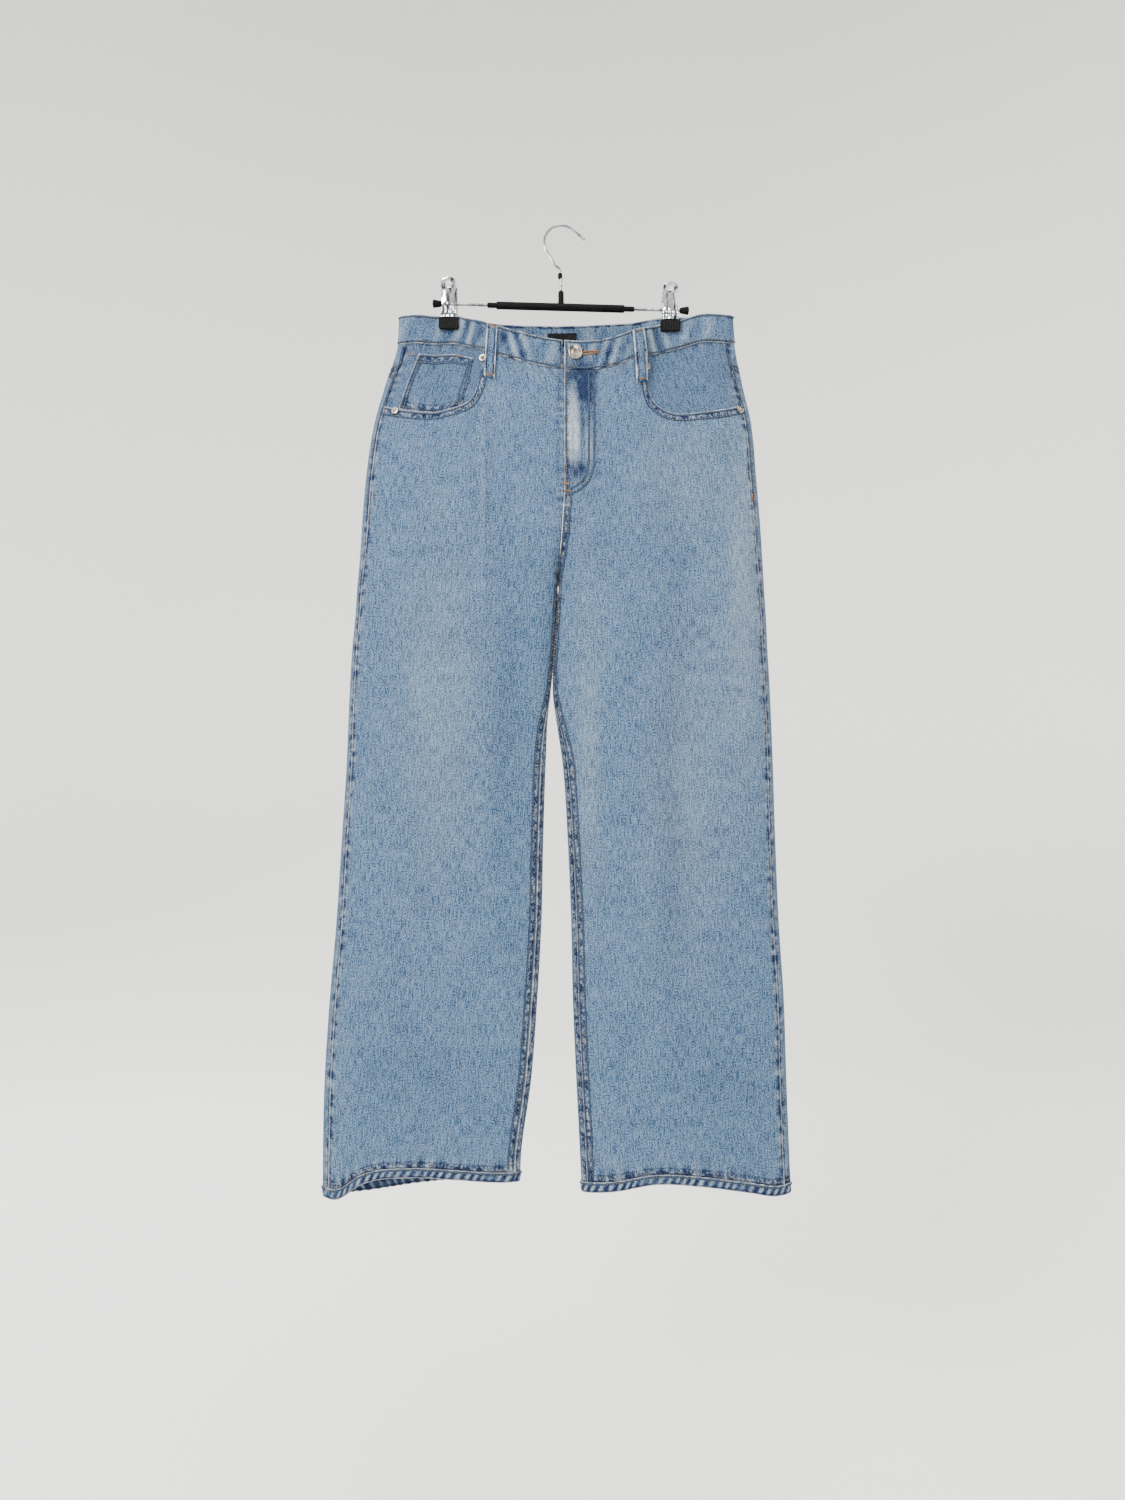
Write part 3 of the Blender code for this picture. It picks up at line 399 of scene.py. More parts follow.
def grid_faces(rows, columns, closed=False):
    """Four-sided faces of a grid whose rows run down and columns run left to right from outside."""
    row, left = np.meshgrid(np.arange(rows - 1), np.arange(columns if closed else columns - 1), indexing="ij")
    right, upper, lower = (left + 1) % columns, row * columns, (row + 1) * columns
    corners = [upper + left, lower + left, lower + right, upper + right]
    return np.stack(corners, axis=-1).reshape(-1, 4)


def face_tuples(faces):
    """Faces of an array as tuples."""
    return [tuple(face) for face in faces.tolist()]


def cloth_piece(name, points, look, thickness, cloth_uv, edges, tints, closed=False):
    """A thin shell of cloth from a grid of points, with the material's own UV map in metres and two
    attributes: edges holds distances to the sewn edges, tints holds the wear mask with painted light, the
    indigo mask with painted shade, and the felled-seam mask."""
    rows, columns = points.shape[:2]
    faces = grid_faces(rows, columns, closed)
    piece = new_piece(name, points, faces, look)
    mesh = piece.data
    layer = mesh.uv_layers.new(name="Cloth")
    corner = np.empty(len(mesh.loops), dtype=np.int32)
    mesh.loops.foreach_get("vertex_index", corner)
    layer.data.foreach_set("uv", cloth_uv.reshape(-1, 2)[corner].astype(np.float32).ravel())
    for title, values in (("edges", edges), ("tints", tints)):
        attribute = mesh.attributes.new(title, "FLOAT_COLOR", "POINT")
        full = np.ones((rows * columns, 4), dtype=np.float32)
        full[:, :3] = values.reshape(-1, 3)
        attribute.data.foreach_set("color", full.ravel())
    wall = piece.modifiers.new("Wall", "SOLIDIFY")
    wall.thickness = thickness
    wall.offset = -1.0
    wall.use_even_offset = True
    return piece


def from_outside(side, face, *grids):
    """Turn grids so that their columns run left to right as seen from outside."""
    if (side == "left") == (face == "front"):
        return grids
    return tuple(grid[:, ::-1] for grid in grids)


def row_lengths(points):
    """Distance along each row of a grid of points, from its first column."""
    steps = np.linalg.norm(np.diff(points, axis=1), axis=-1)
    return np.concatenate([np.zeros((len(points), 1)), np.cumsum(steps, axis=1)], axis=1)


def pucker(distance, along, reach, pitch, seed):
    """Seam pucker: uneven ripples along a seam that die away from it, -1 to 1."""
    phase = 2 * np.pi * along / pitch
    ripple = np.sin(phase + 1.7 * np.sin(phase * 0.23 + seed) + seed)
    uneven = 0.6 + 0.4 * np.sin(along * 61.0 + seed * 3.0)
    return ripple * uneven * np.exp(-(distance / reach) ** 2)


FULL_RIPPLE = 0.0003


def panel_grid(side, face, shares, heights, lift, seed):
    """Points of a panel with its seam puckers, and the distances from its four edges."""
    point, normal, _, _ = map_frame(side, face, shares, heights)
    lengths = row_lengths(point)
    from_side = lengths
    from_centre = lengths[:, -1:] - lengths
    from_top = heights[:1] - heights
    from_foot = heights - heights[-1:]
    ripple = pucker(from_side, heights, 0.007, 0.0115, seed)
    ripple = ripple + pucker(from_centre, heights, 0.008, 0.0105, seed + 2.0) * 0.9375
    ripple = ripple + pucker(from_foot, from_side, 0.012, 0.0170, seed + 4.0) * 1.40625
    ripple = ripple + pucker(from_top, from_side, 0.008, 0.0130, seed + 6.0) * 0.78125
    ripple = ripple * bpy.context.scene.jeans_cloth.pucker
    return point + normal * (lift + ripple)[..., None], from_side, from_centre, from_top, from_foot, ripple


def blob(x, z, centre_x, centre_z, reach_x, reach_z):
    """A soft oval spot, 1 at its centre; places and reaches are in millimetres."""
    return np.exp(-((x * 1000 - centre_x) / reach_x) ** 2 - ((z * 1000 - centre_z) / reach_z) ** 2)


# Worn and indigo places, and painted light and painted shade of folds, creases, gaps and loops: kind, face,
# x, z, reach across, reach down and strength, in millimetres
SPOT_COLUMNS = ("kind", "face", "x", "z", "reach_x", "reach_z", "strength")
SPOTS = (
    ("indigo", "front", 27, -184, 13, 24, 1.40),
    ("indigo", "front", 11, -176, 8, 15, 1.00),
    ("indigo", "front", 31, -208, 5, 30, 0.90),
    ("indigo", "front", 20, -205, 3, 22, 0.80),
    ("indigo", "front", 24, -232, 2.4, 44, 0.95),
    ("indigo", "front", 17, -290, 14, 12, 1.30),
    ("indigo", "front", 7, -286, 3, 12, 0.70),
    ("indigo", "front", 5, -225, 1.8, 40, 0.45),
    # The next two rows: painted shadow beside the fly's lapped edge, on the panel beneath it.
    ("indigo", "front", -3, -190, 3.5, 30, 0.65),
    ("indigo", "front", -4, -262, 2.5, 44, 0.45),
    ("indigo", "front", 41, -250, 2.4, 46, 0.40),
    ("indigo", "front", 34, -322, 12, 7, 0.35),
    ("indigo", "front", 2, -345, 4, 26, 0.55),
    # The next two rows: painted shade in the gap between the legs.
    ("indigo", "front", -6, -420, 4, 60, 0.55),
    ("indigo", "front", -8, -530, 5, 70, 0.40),
    ("wear_and_painted_light", "front", 10, -252, 3.2, 34, 0.85),
    ("wear_and_painted_light", "front", 17, -246, 3.0, 38, 0.85),
    ("wear_and_painted_light", "front", 31, -262, 3.2, 26, 0.45),
    ("wear_and_painted_light", "front", 13, -212, 3, 16, 0.50),
    # The next two rows: painted highlight beside the crease under the left front loop, and painted shade in
    # its trough.
    ("wear_and_painted_light", "front", -90, -300, 3.0, 100, 0.10),
    ("indigo", "front", -84.5, -330, 1.8, 120, 0.45),
    ("wear_and_painted_light", "front", 140, -300, 40, 60, 0.10),
    ("wear_and_painted_light", "front", -140, -560, 40, 160, 0.12),
    ("wear_and_painted_light", "front", 140, -640, 40, 170, 0.12),
    # The next six rows: broad painted shade (indigo) and painted light (wear) that follow the folds of the
    # legs.
    ("indigo", "front", 126, -560, 22, 240, 0.30),
    ("indigo", "front", -66, -570, 17, 210, 0.22),
    ("indigo", "front", -165, -975, 55, 70, 0.18),
    ("indigo", "front", 185, -985, 55, 100, 0.20),
    ("wear_and_painted_light", "front", 208, -420, 22, 190, 0.20),
    ("wear_and_painted_light", "front", 30, -600, 14, 170, 0.14),
    # The next four rows: painted shadows on the band beside both front belt loops.
    ("indigo", "front", -91, -133, 4, 6, 0.90),
    ("indigo", "front", -66, -137, 5, 6, 0.90),
    ("indigo", "front", 76, -142, 4, 6, 0.90),
    ("indigo", "front", 98, -138, 5, 5, 0.80),
    ("indigo", "front", -45, -158, 9, 4, 0.50),
    ("indigo", "front", 52, -156, 10, 4, 0.55),
    ("indigo", "front", -60, -165, 9, 8, 0.45),
    ("indigo", "front", 70, -150, 10, 7, 0.35),
    ("indigo", "front", 66, -172, 12, 6, 0.30),
    # The next two rows: painted shade along two fold troughs.
    ("indigo", "front", -52, -600, 20, 110, 0.16),
    ("indigo", "front", 132, -760, 22, 100, 0.14),
    ("wear_and_painted_light", "back", -110, -300, 60, 60, 0.26),
    ("wear_and_painted_light", "back", 112, -300, 60, 60, 0.26),
    ("wear_and_painted_light", "back", -120, -640, 50, 120, 0.16),
    ("wear_and_painted_light", "back", 130, -640, 50, 120, 0.16),
    ("indigo", "back", 3, -380, 9, 50, 0.45),
    ("indigo", "back", -70, -410, 50, 8, 0.22),
    ("indigo", "back", 80, -412, 50, 8, 0.22),
)


def cloth_tints(face, points):
    """Wear and indigo masks at world points of a face, from the table of spots, which also hold painted light
    and painted shade, and an empty third one.
    """
    x, z = points[..., 0], points[..., 2]
    masks = {"wear_and_painted_light": np.zeros(x.shape), "indigo": np.zeros(x.shape)}
    for row in SPOTS:
        spot = dict(zip(SPOT_COLUMNS, row))
        if spot["face"] != face:
            continue
        streak = 0.68 + 0.32 * np.sin(x * 1900 + 3 * np.sin(z * 60)) * np.sin(z * 310 + x * 90)
        spread = blob(x, z, spot["x"], spot["z"], spot["reach_x"], spot["reach_z"])
        masks[spot["kind"]] += spot["strength"] * spread * streak
    return np.stack([np.clip(masks["wear_and_painted_light"], 0, 1), np.clip(masks["indigo"], 0, 1), 0 * x], axis=-1)


# An edge that runs under its neighbour is read UNDER_LAP further in, so it starts at the dark line: painted
# shadow under the lapping edge. A hidden edge is read so far off that it gets no marks.
UNDER_LAP, HIDDEN = 0.0014, 0.05


def mouth_distance(side, shares, heights):
    """Distance over a front from each place to the pocket mouth."""
    ladder = np.linspace(MAP_TOP, MAP_FOOT, MAP_LEVELS)
    length = row_lengths(MAPS[side]["front"])[:, -1]
    part = np.linspace(0, 1, 240)
    height = mouth_height(part)
    curve_x = part * POCKET_SHARE * np.interp(-height, -ladder, length)
    place_x = shares * np.interp(-heights, -ladder, length)
    return np.hypot(place_x[..., None] - curve_x, heights[..., None] - height).min(axis=-1)


def dressed(name, side, face, shares, heights, look, lift=0.0, thickness=DENIM, seed=0.0,
            laps=(1, 1, 1, 1), pocket=False):
    """A cloth piece on a map, with its UV map, its edge distances and its tints. laps says for its side,
    centre, top and foot whether that edge laps over its neighbour (1), runs under it (0) or is hidden
    (negative); an edge that runs under starts at the dark line, painted shadow of the lap. pocket says that
    the top edge is the pocket mouth."""
    shares, heights = np.broadcast_arrays(shares, heights)
    points, from_side, from_centre, from_top, from_foot, ripple = panel_grid(
        side, face, shares, heights, np.asarray(lift) + 0 * shares, seed)
    start = (0.5 if face == "back" else 0) + (1.1 if side == "right" else 0)
    cloth_uv = np.stack([from_side + start, heights], axis=-1)
    felled = np.ones(shares.shape)
    if pocket:
        from_top = mouth_distance(side, shares, heights)
        felled = 1 - smooth_step((from_top - 0.011) / 0.004) * smooth_step((heights + 0.290) / 0.004)
    if side == "left" and face == "front":
        from_centre = from_centre + 0.011 * smooth_step((heights - CROTCH) / 0.02)
    reaches = [gap + UNDER_LAP * (lap < 1) + HIDDEN * (lap < 0) for gap, lap in
               zip((from_side, from_centre, from_top, np.abs(from_foot)), laps)]
    edges = np.stack([reaches[0], reaches[1], np.minimum(reaches[2], reaches[3])], axis=-1)
    tints = cloth_tints(face, points)
    tints[..., 2] = felled
    # Paler on the pucker crests and darker in their hollows.
    tints[..., 0] += np.clip(ripple / FULL_RIPPLE, 0, 1) * 0.18
    tints[..., 1] += np.clip(-ripple / FULL_RIPPLE, 0, 1) * 0.60
    points, cloth_uv, edges, tints = from_outside(side, face, points, cloth_uv, edges, tints)
    return cloth_piece(name, points, look, thickness, cloth_uv, edges, tints)


def eased(count, ends=0.55):
    """Values from 0 to 1 that crowd towards both ends."""
    t = np.linspace(0, 1, count)
    return t - ends * np.sin(2 * np.pi * t) / (2 * np.pi)


def level_heights(top, foot_z, rows, settle=0.10):
    """Grid of heights: rows that follow the top edge and settle to level ones below it."""
    highest = np.max(top)
    depth = (highest - foot_z) * np.linspace(0, 1, rows)[:, None]
    return highest - depth - (highest - np.asarray(top)[None, :]) * np.exp(-depth / settle)


def paced(point, normal, pitch):
    """Evenly spaced points along a line of points, with their normals and directions."""
    length = running_length(point)
    count = max(int(length[-1] / pitch), 1)
    at = (np.arange(count) + 0.5) * length[-1] / count

    def read(values, where):
        return np.stack([np.interp(where, length, values[:, axis]) for axis in range(3)], axis=-1)

    tangent = read(point, at + pitch * 0.3) - read(point, at - pitch * 0.3)
    tangent /= np.maximum(np.linalg.norm(tangent, axis=-1, keepdims=True), 1e-9)
    return read(point, at), read(normal, at), tangent


STITCH_RINGS = np.array([-1.0, -0.55, 0.55, 1.0])
STITCH_SWELL = np.array([0.35, 1.0, 1.0, 0.35])
STITCH_SIDES = 5


def stitch_arrays(centre, up, tangent, length, radius):
    """Points and faces of small rounded stitches: each is a row of rings along its direction, which
    swell in the middle and dip into the cloth at both ends."""
    across = np.cross(tangent, up)
    angle = np.linspace(0, 2 * np.pi, STITCH_SIDES, endpoint=False)
    ring = STITCH_RINGS[None, :, None, None]
    swell = STITCH_SWELL[None, :, None, None] * radius
    rise = radius * (0.55 - 0.9 * ring ** 2)
    points = (centre[:, None, None, :] + tangent[:, None, None, :] * ring * length / 2
              + up[:, None, None, :] * (rise + swell * np.sin(angle)[None, None, :, None])
              + across[:, None, None, :] * swell * np.cos(angle)[None, None, :, None])
    base = (np.arange(len(centre)) * points.shape[1] * STITCH_SIDES)[:, None]
    tube = grid_faces(len(STITCH_RINGS), STITCH_SIDES, closed=True)[None]
    faces = (base[:, :, None] + tube).reshape(-1, 4)
    first = base + np.arange(STITCH_SIDES)[None]
    last = base + (len(STITCH_RINGS) - 1) * STITCH_SIDES + np.arange(STITCH_SIDES)[::-1][None]
    return points.reshape(-1, 3), [faces, first, last]


def sewing_piece(name, lines, look):
    """One mesh of all the stitches of a list of (centre, up, tangent, length, radius) lines."""
    points, faces, start = [], [], 0
    for line in lines:
        found, groups = stitch_arrays(*line)
        points.append(found)
        faces += [face for group in groups for face in face_tuples(group + start)]
        start += len(found)
    return new_piece(name, np.concatenate(points), faces, look)


# Materials


def add_node(tree, kind, inputs=None, **settings):
    """Add a node; inputs hold numbers, colours, sockets or terms by socket name or number."""
    node = tree.nodes.new(kind)
    for key, value in settings.items():
        setattr(node, key, value)
    for key, value in (inputs or {}).items():
        value = getattr(value, "socket", value)
        if isinstance(value, bpy.types.NodeSocket):
            tree.links.new(value, node.inputs[key])
        else:
            node.inputs[key].default_value = value
    return node


class Term:
    """A varying number in a node tree that takes part in plain sums, each of which makes a Math node."""

    def __init__(self, tree, socket):
        self.tree, self.socket = tree, socket

    def maths(self, operation, first, second=0.0):
        """The result of a Math node."""
        node = add_node(self.tree, "ShaderNodeMath", {0: first, 1: second}, operation=operation)
        return Term(self.tree, node.outputs[0])

    def __add__(self, other):
        return self.maths("ADD", self, other)

    def __mul__(self, other):
        return self.maths("MULTIPLY", self, other)

    def __sub__(self, other):
        return self.maths("SUBTRACT", self, other)

    def __rsub__(self, other):
        return self.maths("SUBTRACT", other, self)

    def __abs__(self):
        return self.maths("ABSOLUTE", self)

    def smaller(self, other):
        """The smaller of two terms."""
        return self.maths("MINIMUM", self, other)

    def larger(self, other):
        """The larger of two terms."""
        return self.maths("MAXIMUM", self, other)

    def clamped(self):
        """The same term, held between 0 and 1."""
        self.socket.node.use_clamp = True
        return self

    def fall(self, start, end):
        """A mask that goes smoothly from 1 where the term is start to 0 where it is end."""
        ends = {"Value": self, "From Min": start, "From Max": end, "To Min": 1.0, "To Max": 0.0}
        node = add_node(self.tree, "ShaderNodeMapRange", ends, interpolation_type="SMOOTHSTEP")
        return Term(self.tree, node.outputs["Result"])

    def into(self, socket):
        """Feed the term into a socket."""
        self.tree.links.new(self.socket, socket)


def mixed(tree, share, first, second):
    """A colour between two colours."""
    return add_node(tree, "ShaderNodeMix", {0: share, 6: first, 7: second}, data_type="RGBA",
                    clamp_factor=True).outputs[2]


def noise(tree, vector, scale, detail=2.0, roughness=0.5):
    """Noise on a vector."""
    inputs = {"Vector": vector, "Scale": scale, "Detail": detail, "Roughness": roughness}
    return Term(tree, add_node(tree, "ShaderNodeTexNoise", inputs).outputs[0])


def grain(tree, vector, size, detail, roughness=0.6):
    """Noise on a vector in metres; size is how many grains lie in a metre across and down."""
    scaled = add_node(tree, "ShaderNodeMapping", {"Vector": vector, "Scale": (*size, max(size))}).outputs[0]
    return noise(tree, scaled, 1.0, detail, roughness)


def parted(tree, vector):
    """The three numbers of a vector."""
    node = add_node(tree, "ShaderNodeSeparateXYZ", {0: vector})
    return [Term(tree, socket) for socket in node.outputs]


def new_group(name, inputs, outputs):
    """A shader node group with named sockets; inputs that are numbers have a value."""
    group = bpy.data.node_groups.new(name, "ShaderNodeTree")
    for title, kind, *value in inputs:
        socket = group.interface.new_socket(title, in_out="INPUT", socket_type="NodeSocket" + kind)
        if value:
            socket.default_value = value[0]
    for title, kind in outputs:
        group.interface.new_socket(title, in_out="OUTPUT", socket_type="NodeSocket" + kind)
    given, result = group.nodes.new("NodeGroupInput"), group.nodes.new("NodeGroupOutput")
    return group, {socket.name: Term(group, socket) for socket in given.outputs if socket.name}, result.inputs


def band_mask(reach, middle, full, none):
    """A mask of a stripe along a seam: 1 within full of its middle, and 0 beyond none."""
    return abs(reach - middle).fall(full, none)


def denim_group():
    """Denim: a mix of pale and blue yarn by grain, slubs and mottling; worn and indigo masks from the tints,
    which also carry painted light and painted shade; and a band beside each sewn edge that alternates pale
    and indigo in uneven patches, with a dark line past its pale ridge that is painted shade of the stitch
    groove. A felled seam has two dark lines, painted shade along its rows of stitches, and a hatched band
    between them."""
    group, given, result = new_group(
        "Stonewashed denim",
        [("Cloth", "Vector"), ("Edges", "Vector"), ("Tints", "Vector"), ("Pale", "Color"),
         ("Blue", "Color"), ("Indigo", "Color"), ("Worn", "Color"), ("Seam Reach", "Float", 0.0075),
         ("Seam Pale", "Float", 0.60), ("Seam Dark", "Float", 0.55), ("Depth", "Float", 0.0)],
        [("Color", "Color"), ("Roughness", "Float"), ("Height", "Float")])
    cloth = given["Cloth"]
    # The tints' first channel is wear with painted light, the second indigo with painted shade.
    edges, (wear_and_painted_light, indigo, felled_seam) = parted(group, given["Edges"]), parted(group, given["Tints"])
    salt = grain(group, cloth, (800, 580), 2.0, 0.75)
    slub = grain(group, cloth, (640, 75), 2.0)
    mottle = grain(group, cloth, (34, 20), 3.0)
    fibre = 1.0 - (salt * 0.64 + slub * 0.29 + mottle * 0.07).fall(0.425, 0.575)
    patches = grain(group, cloth, (70, 70), 2.0)
    hatch = grain(group, cloth, (300, 230), 1.0).fall(0.48, 0.58)

    rows = edges[1].smaller(edges[2])
    edge = edges[0].smaller(edges[1]).smaller(edges[2])
    near = edge.fall(0.0015, given["Seam Reach"])
    ridge = edge.fall(0.0005, 0.0013)
    felled = band_mask(rows, 0.0052, 0.0018, 0.0032) * felled_seam
    # The dark line about 2.3 mm from every edge and the outer line of a felled seam are painted shade of the
    # stitch grooves.
    outer = band_mask(rows, 0.0087, 0.0004, 0.0014) * 0.65 * felled_seam
    line = band_mask(edge, 0.0023, 0.0005, 0.0013) * 0.90 + outer + felled * hatch * 0.85

    worn = near * (1.0 - patches.fall(0.44, 0.60)) * given["Seam Pale"] * 0.40
    worn = worn + ((felled - hatch) * 0.12).clamped() + ridge * given["Seam Pale"] + wear_and_painted_light
    worn = (worn * (fibre * 0.6 + 0.55)).clamped()
    # dark holds the wash patches, the painted groove shade and the indigo mask with its painted shade.
    dark = (near * patches.fall(0.38, 0.54) + line) * given["Seam Dark"] + indigo
    dark = (dark * (1.3 - fibre * 0.5)).clamped()
    worn = worn * (1.0 - (indigo * 0.95).larger(dark * 0.40)).clamped()

    yarn = mixed(group, fibre * 0.70, given["Blue"], given["Pale"])
    yarn = mixed(group, given["Depth"], yarn, given["Indigo"])
    washed = mixed(group, dark, yarn, given["Indigo"])
    group.links.new(mixed(group, worn, washed, given["Worn"]), result["Color"])
    (salt * 0.12 + 0.82).into(result["Roughness"])
    (salt * 0.7 + slub * 0.5).into(result["Height"])
    return group


def marks_and_reflection_group():
    """Light handling marks for metal, rubber and plastic: fine grain and broad smudges. The smudges' tone
    also places chrome's painted dark reflections.
    """
    group, given, result = new_group(
        "Handling marks", [("Vector", "Vector"), ("Base", "Float", 0.2), ("Marks", "Float", 0.1),
                           ("Fine", "Float", 2500.0)],
        [("Roughness", "Float"), ("Height", "Float"), ("Tone", "Float")])
    smudge = noise(group, given["Vector"], 180.0, 4.0)
    (smudge * given["Marks"] + given["Base"]).into(result["Roughness"])
    noise(group, given["Vector"], given["Fine"]).into(result["Height"])
    smudge.into(result["Tone"])
    return group


def new_material(name, **constants):
    """A material with its Principled shader, constants on the shader's own sockets."""
    material = bpy.data.materials.new(name)
    material.use_nodes = True
    shader = material.node_tree.nodes["Principled BSDF"]
    for title, value in constants.items():
        shader.inputs[title.replace("_", " ")].default_value = value
    return material, material.node_tree, shader


def bumped(tree, shader, height, strength, distance):
    """Feed a height into the shader's normal."""
    bump = add_node(tree, "ShaderNodeBump", {"Height": height, "Strength": strength, "Distance": distance})
    tree.links.new(bump.outputs[0], shader.inputs["Normal"])


def rgba(colour):
    """A colour with full alpha."""
    return (*tuple(colour)[:3], 1.0)


def denim_material(name, depth, reach, pale, dark):
    """Denim with its own depth of blue, and its own worn bands and painted groove shade along the sewn edges.
    """
    looks = bpy.context.scene.jeans_cloth
    material, tree, shader = new_material(name, Sheen_Weight=0.05, Sheen_Roughness=0.5,
                                          Specular_IOR_Level=0.12)
    inputs = {"Cloth": add_node(tree, "ShaderNodeUVMap", uv_map="Cloth").outputs[0],
              "Seam Reach": reach, "Seam Pale": pale, "Seam Dark": dark, "Depth": depth}
    for title in ("Edges", "Tints"):
        inputs[title] = add_node(tree, "ShaderNodeAttribute", attribute_name=title.lower()).outputs["Vector"]
    for title in ("Pale", "Blue", "Indigo", "Worn"):
        inputs[title] = rgba(getattr(looks, title.lower()))
    group = bpy.data.node_groups.get("Stonewashed denim") or denim_group()
    weave = add_node(tree, "ShaderNodeGroup", inputs, node_tree=group)
    tree.links.new(weave.outputs["Color"], shader.inputs["Base Color"])
    tree.links.new(weave.outputs["Roughness"], shader.inputs["Roughness"])
    bumped(tree, shader, weave.outputs["Height"], 0.55, 0.0006)
    return material


def hard_material(name, colour, second, metallic, gloss, base, marks, fine, strength, distance,
                  stretch=(1.0, 1.0, 1.0)):
    """Metal, plastic or rubber with handling marks and a fine surface; stretch draws the marks out. The
    marks' tone mixes in the second colour, which on chrome, drawn into upright streaks, is painted
    reflection.
    """
    material, tree, shader = new_material(name, Metallic=metallic, Specular_IOR_Level=gloss)
    place = add_node(tree, "ShaderNodeTexCoord").outputs["Object"]
    drawn = add_node(tree, "ShaderNodeMapping", {"Vector": place, "Scale": stretch}).outputs[0]
    group = bpy.data.node_groups.get("Handling marks") or marks_and_reflection_group()
    marks_and_reflection = add_node(tree, "ShaderNodeGroup", {"Vector": drawn, "Base": base, "Marks": marks, "Fine": fine},
                     node_tree=group)
    share = 1.0 - Term(tree, marks_and_reflection.outputs["Tone"]).fall(0.42, 0.62)
    tree.links.new(mixed(tree, share, rgba(colour), rgba(second)), shader.inputs["Base Color"])
    tree.links.new(marks_and_reflection.outputs["Roughness"], shader.inputs["Roughness"])
    bumped(tree, shader, marks_and_reflection.outputs["Height"], strength, distance)
    return material


def thread_material(name, colour, second):
    """Sewing thread: two tones along the thread, and its twist. The furrow ribbons use it too, for their
    painted shade.
    """
    material, tree, shader = new_material(name, Roughness=0.7, Specular_IOR_Level=0.15)
    place = add_node(tree, "ShaderNodeTexCoord").outputs["Object"]
    share = 1.0 - noise(tree, place, 160.0, 3.0).fall(0.38, 0.62)
    tree.links.new(mixed(tree, share, rgba(colour), rgba(second)), shader.inputs["Base Color"])
    bumped(tree, shader, noise(tree, place, 3000.0), 0.4, 0.0002)
    return material


# Denim: name, depth of blue, reach of the worn band at a seam, its pale, and its dark, which scales the dark
# wash patches and the painted groove shade
DENIM_LOOKS = {
    "denim": ("Stonewashed denim cloth", 0.0, 0.0085, 0.52, 0.82),
    "denim_band": ("Waistband denim", 0.10, 0.0060, 0.60, 0.85),
    "denim_hem": ("Roped hem denim", 0.10, 0.0050, 0.60, 0.95),
    "denim_inside": ("Pocket facing denim", 0.26, 0.0060, 0.50, 0.85),
    "denim_loop": ("Belt loop denim", 0.05, 0.0030, 0.60, 0.85),
}
# Thread: name and two colours. The khaki thread's dark blue-grey second colour is painted shade, and both
# furrow colours are painted shade.
THREAD_LOOKS = {
    # Khaki, with a dark blue-grey second tone that paints shade along the stitches.
    "thread": ("Faded khaki thread", (0.105, 0.098, 0.074), (0.026, 0.036, 0.055)),
    # Painted shade: the dark ribbon under each row of stitches.
    "furrow": ("Indigo stitch furrow", (0.004, 0.012, 0.032), (0.020, 0.040, 0.080)),
    "thread_tan": ("Tan bar-tack thread", (0.21, 0.095, 0.032), (0.075, 0.040, 0.020)),
}
# Hard finishes: name, two colours, metal, gloss, roughness, marks, fineness, bump, its height and stretch.
# Chrome's near-black second colour is painted reflection.
HARD_LOOKS = {
    # Painted reflection: the near-black second colour, drawn into upright streaks by the stretch.
    "chrome": ("Polished chrome", (0.42, 0.43, 0.45), (0.015, 0.017, 0.021), 1.0, 0.5, 0.05, 0.10, 900.0,
               0.04, 0.0002, (1.6, 1.6, 0.05)),
    "wire": ("Bright steel wire", (0.30, 0.30, 0.30), (0.13, 0.13, 0.14), 1.0, 0.5, 0.14, 0.08, 900.0,
             0.04, 0.0002),
    "fittings": ("Warm silver fittings", (0.30, 0.28, 0.235), (0.09, 0.082, 0.068), 1.0, 0.5, 0.18, 0.20,
                 2200.0, 0.25, 0.0002),
    "zip_metal": ("Zip metal", (0.55, 0.47, 0.32), (0.44, 0.376, 0.256), 1.0, 0.5, 0.30, 0.20, 2200.0, 0.25,
                  0.0002),
    "black_plastic": ("Black plastic", (0.003, 0.003, 0.003), (0.004, 0.004, 0.004), 0.0, 0.04, 0.42, 0.12,
                      1800.0, 0.10, 0.0002),
    "black_rubber": ("Black rubber", (0.004, 0.004, 0.004), (0.005, 0.005, 0.005), 0.0, 0.05, 0.42, 0.20,
                     1500.0, 0.30, 0.0003),
    "label_black": ("Black label cloth", (0.003, 0.003, 0.004), (0.008, 0.008, 0.009), 0.0, 0.1, 0.78, 0.12,
                    2600.0, 0.5, 0.0003),
}
LOOK_MAKERS = ((DENIM_LOOKS, denim_material), (THREAD_LOOKS, thread_material), (HARD_LOOKS, hard_material))
MATERIALS = {}
RECORD_SLOTS = {**dict.fromkeys((*DENIM_LOOKS, *THREAD_LOOKS), "denim"), "wire": "chrome"}


def finish(look):
    """The material of a look, made once."""
    if look not in MATERIALS:
        rows, maker = next(pair for pair in LOOK_MAKERS if look in pair[0])
        MATERIALS[look] = maker(*rows[look])
    return MATERIALS[look]


# Pieces


def declare(points, node):
    """Hide the frame's node that a piece stands for; the points are not used."""
    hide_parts(node)


def mesh_points(piece, rows):
    """The points of a grid piece, by rows."""
    values = np.empty(len(piece.data.vertices) * 3, dtype=np.float32)
    piece.data.vertices.foreach_get("co", values)
    return values.reshape(rows, -1, 3).astype(float)


FRONT_SHARES = np.concatenate([
    POCKET_SHARE * np.concatenate([0.95 * eased(27), np.linspace(0.95, 1.0, 11)[1:]]),
    POCKET_SHARE + (1 - POCKET_SHARE) * eased(38)[1:]])
BACK_SHARES = eased(74)
LEG_ROWS = 300


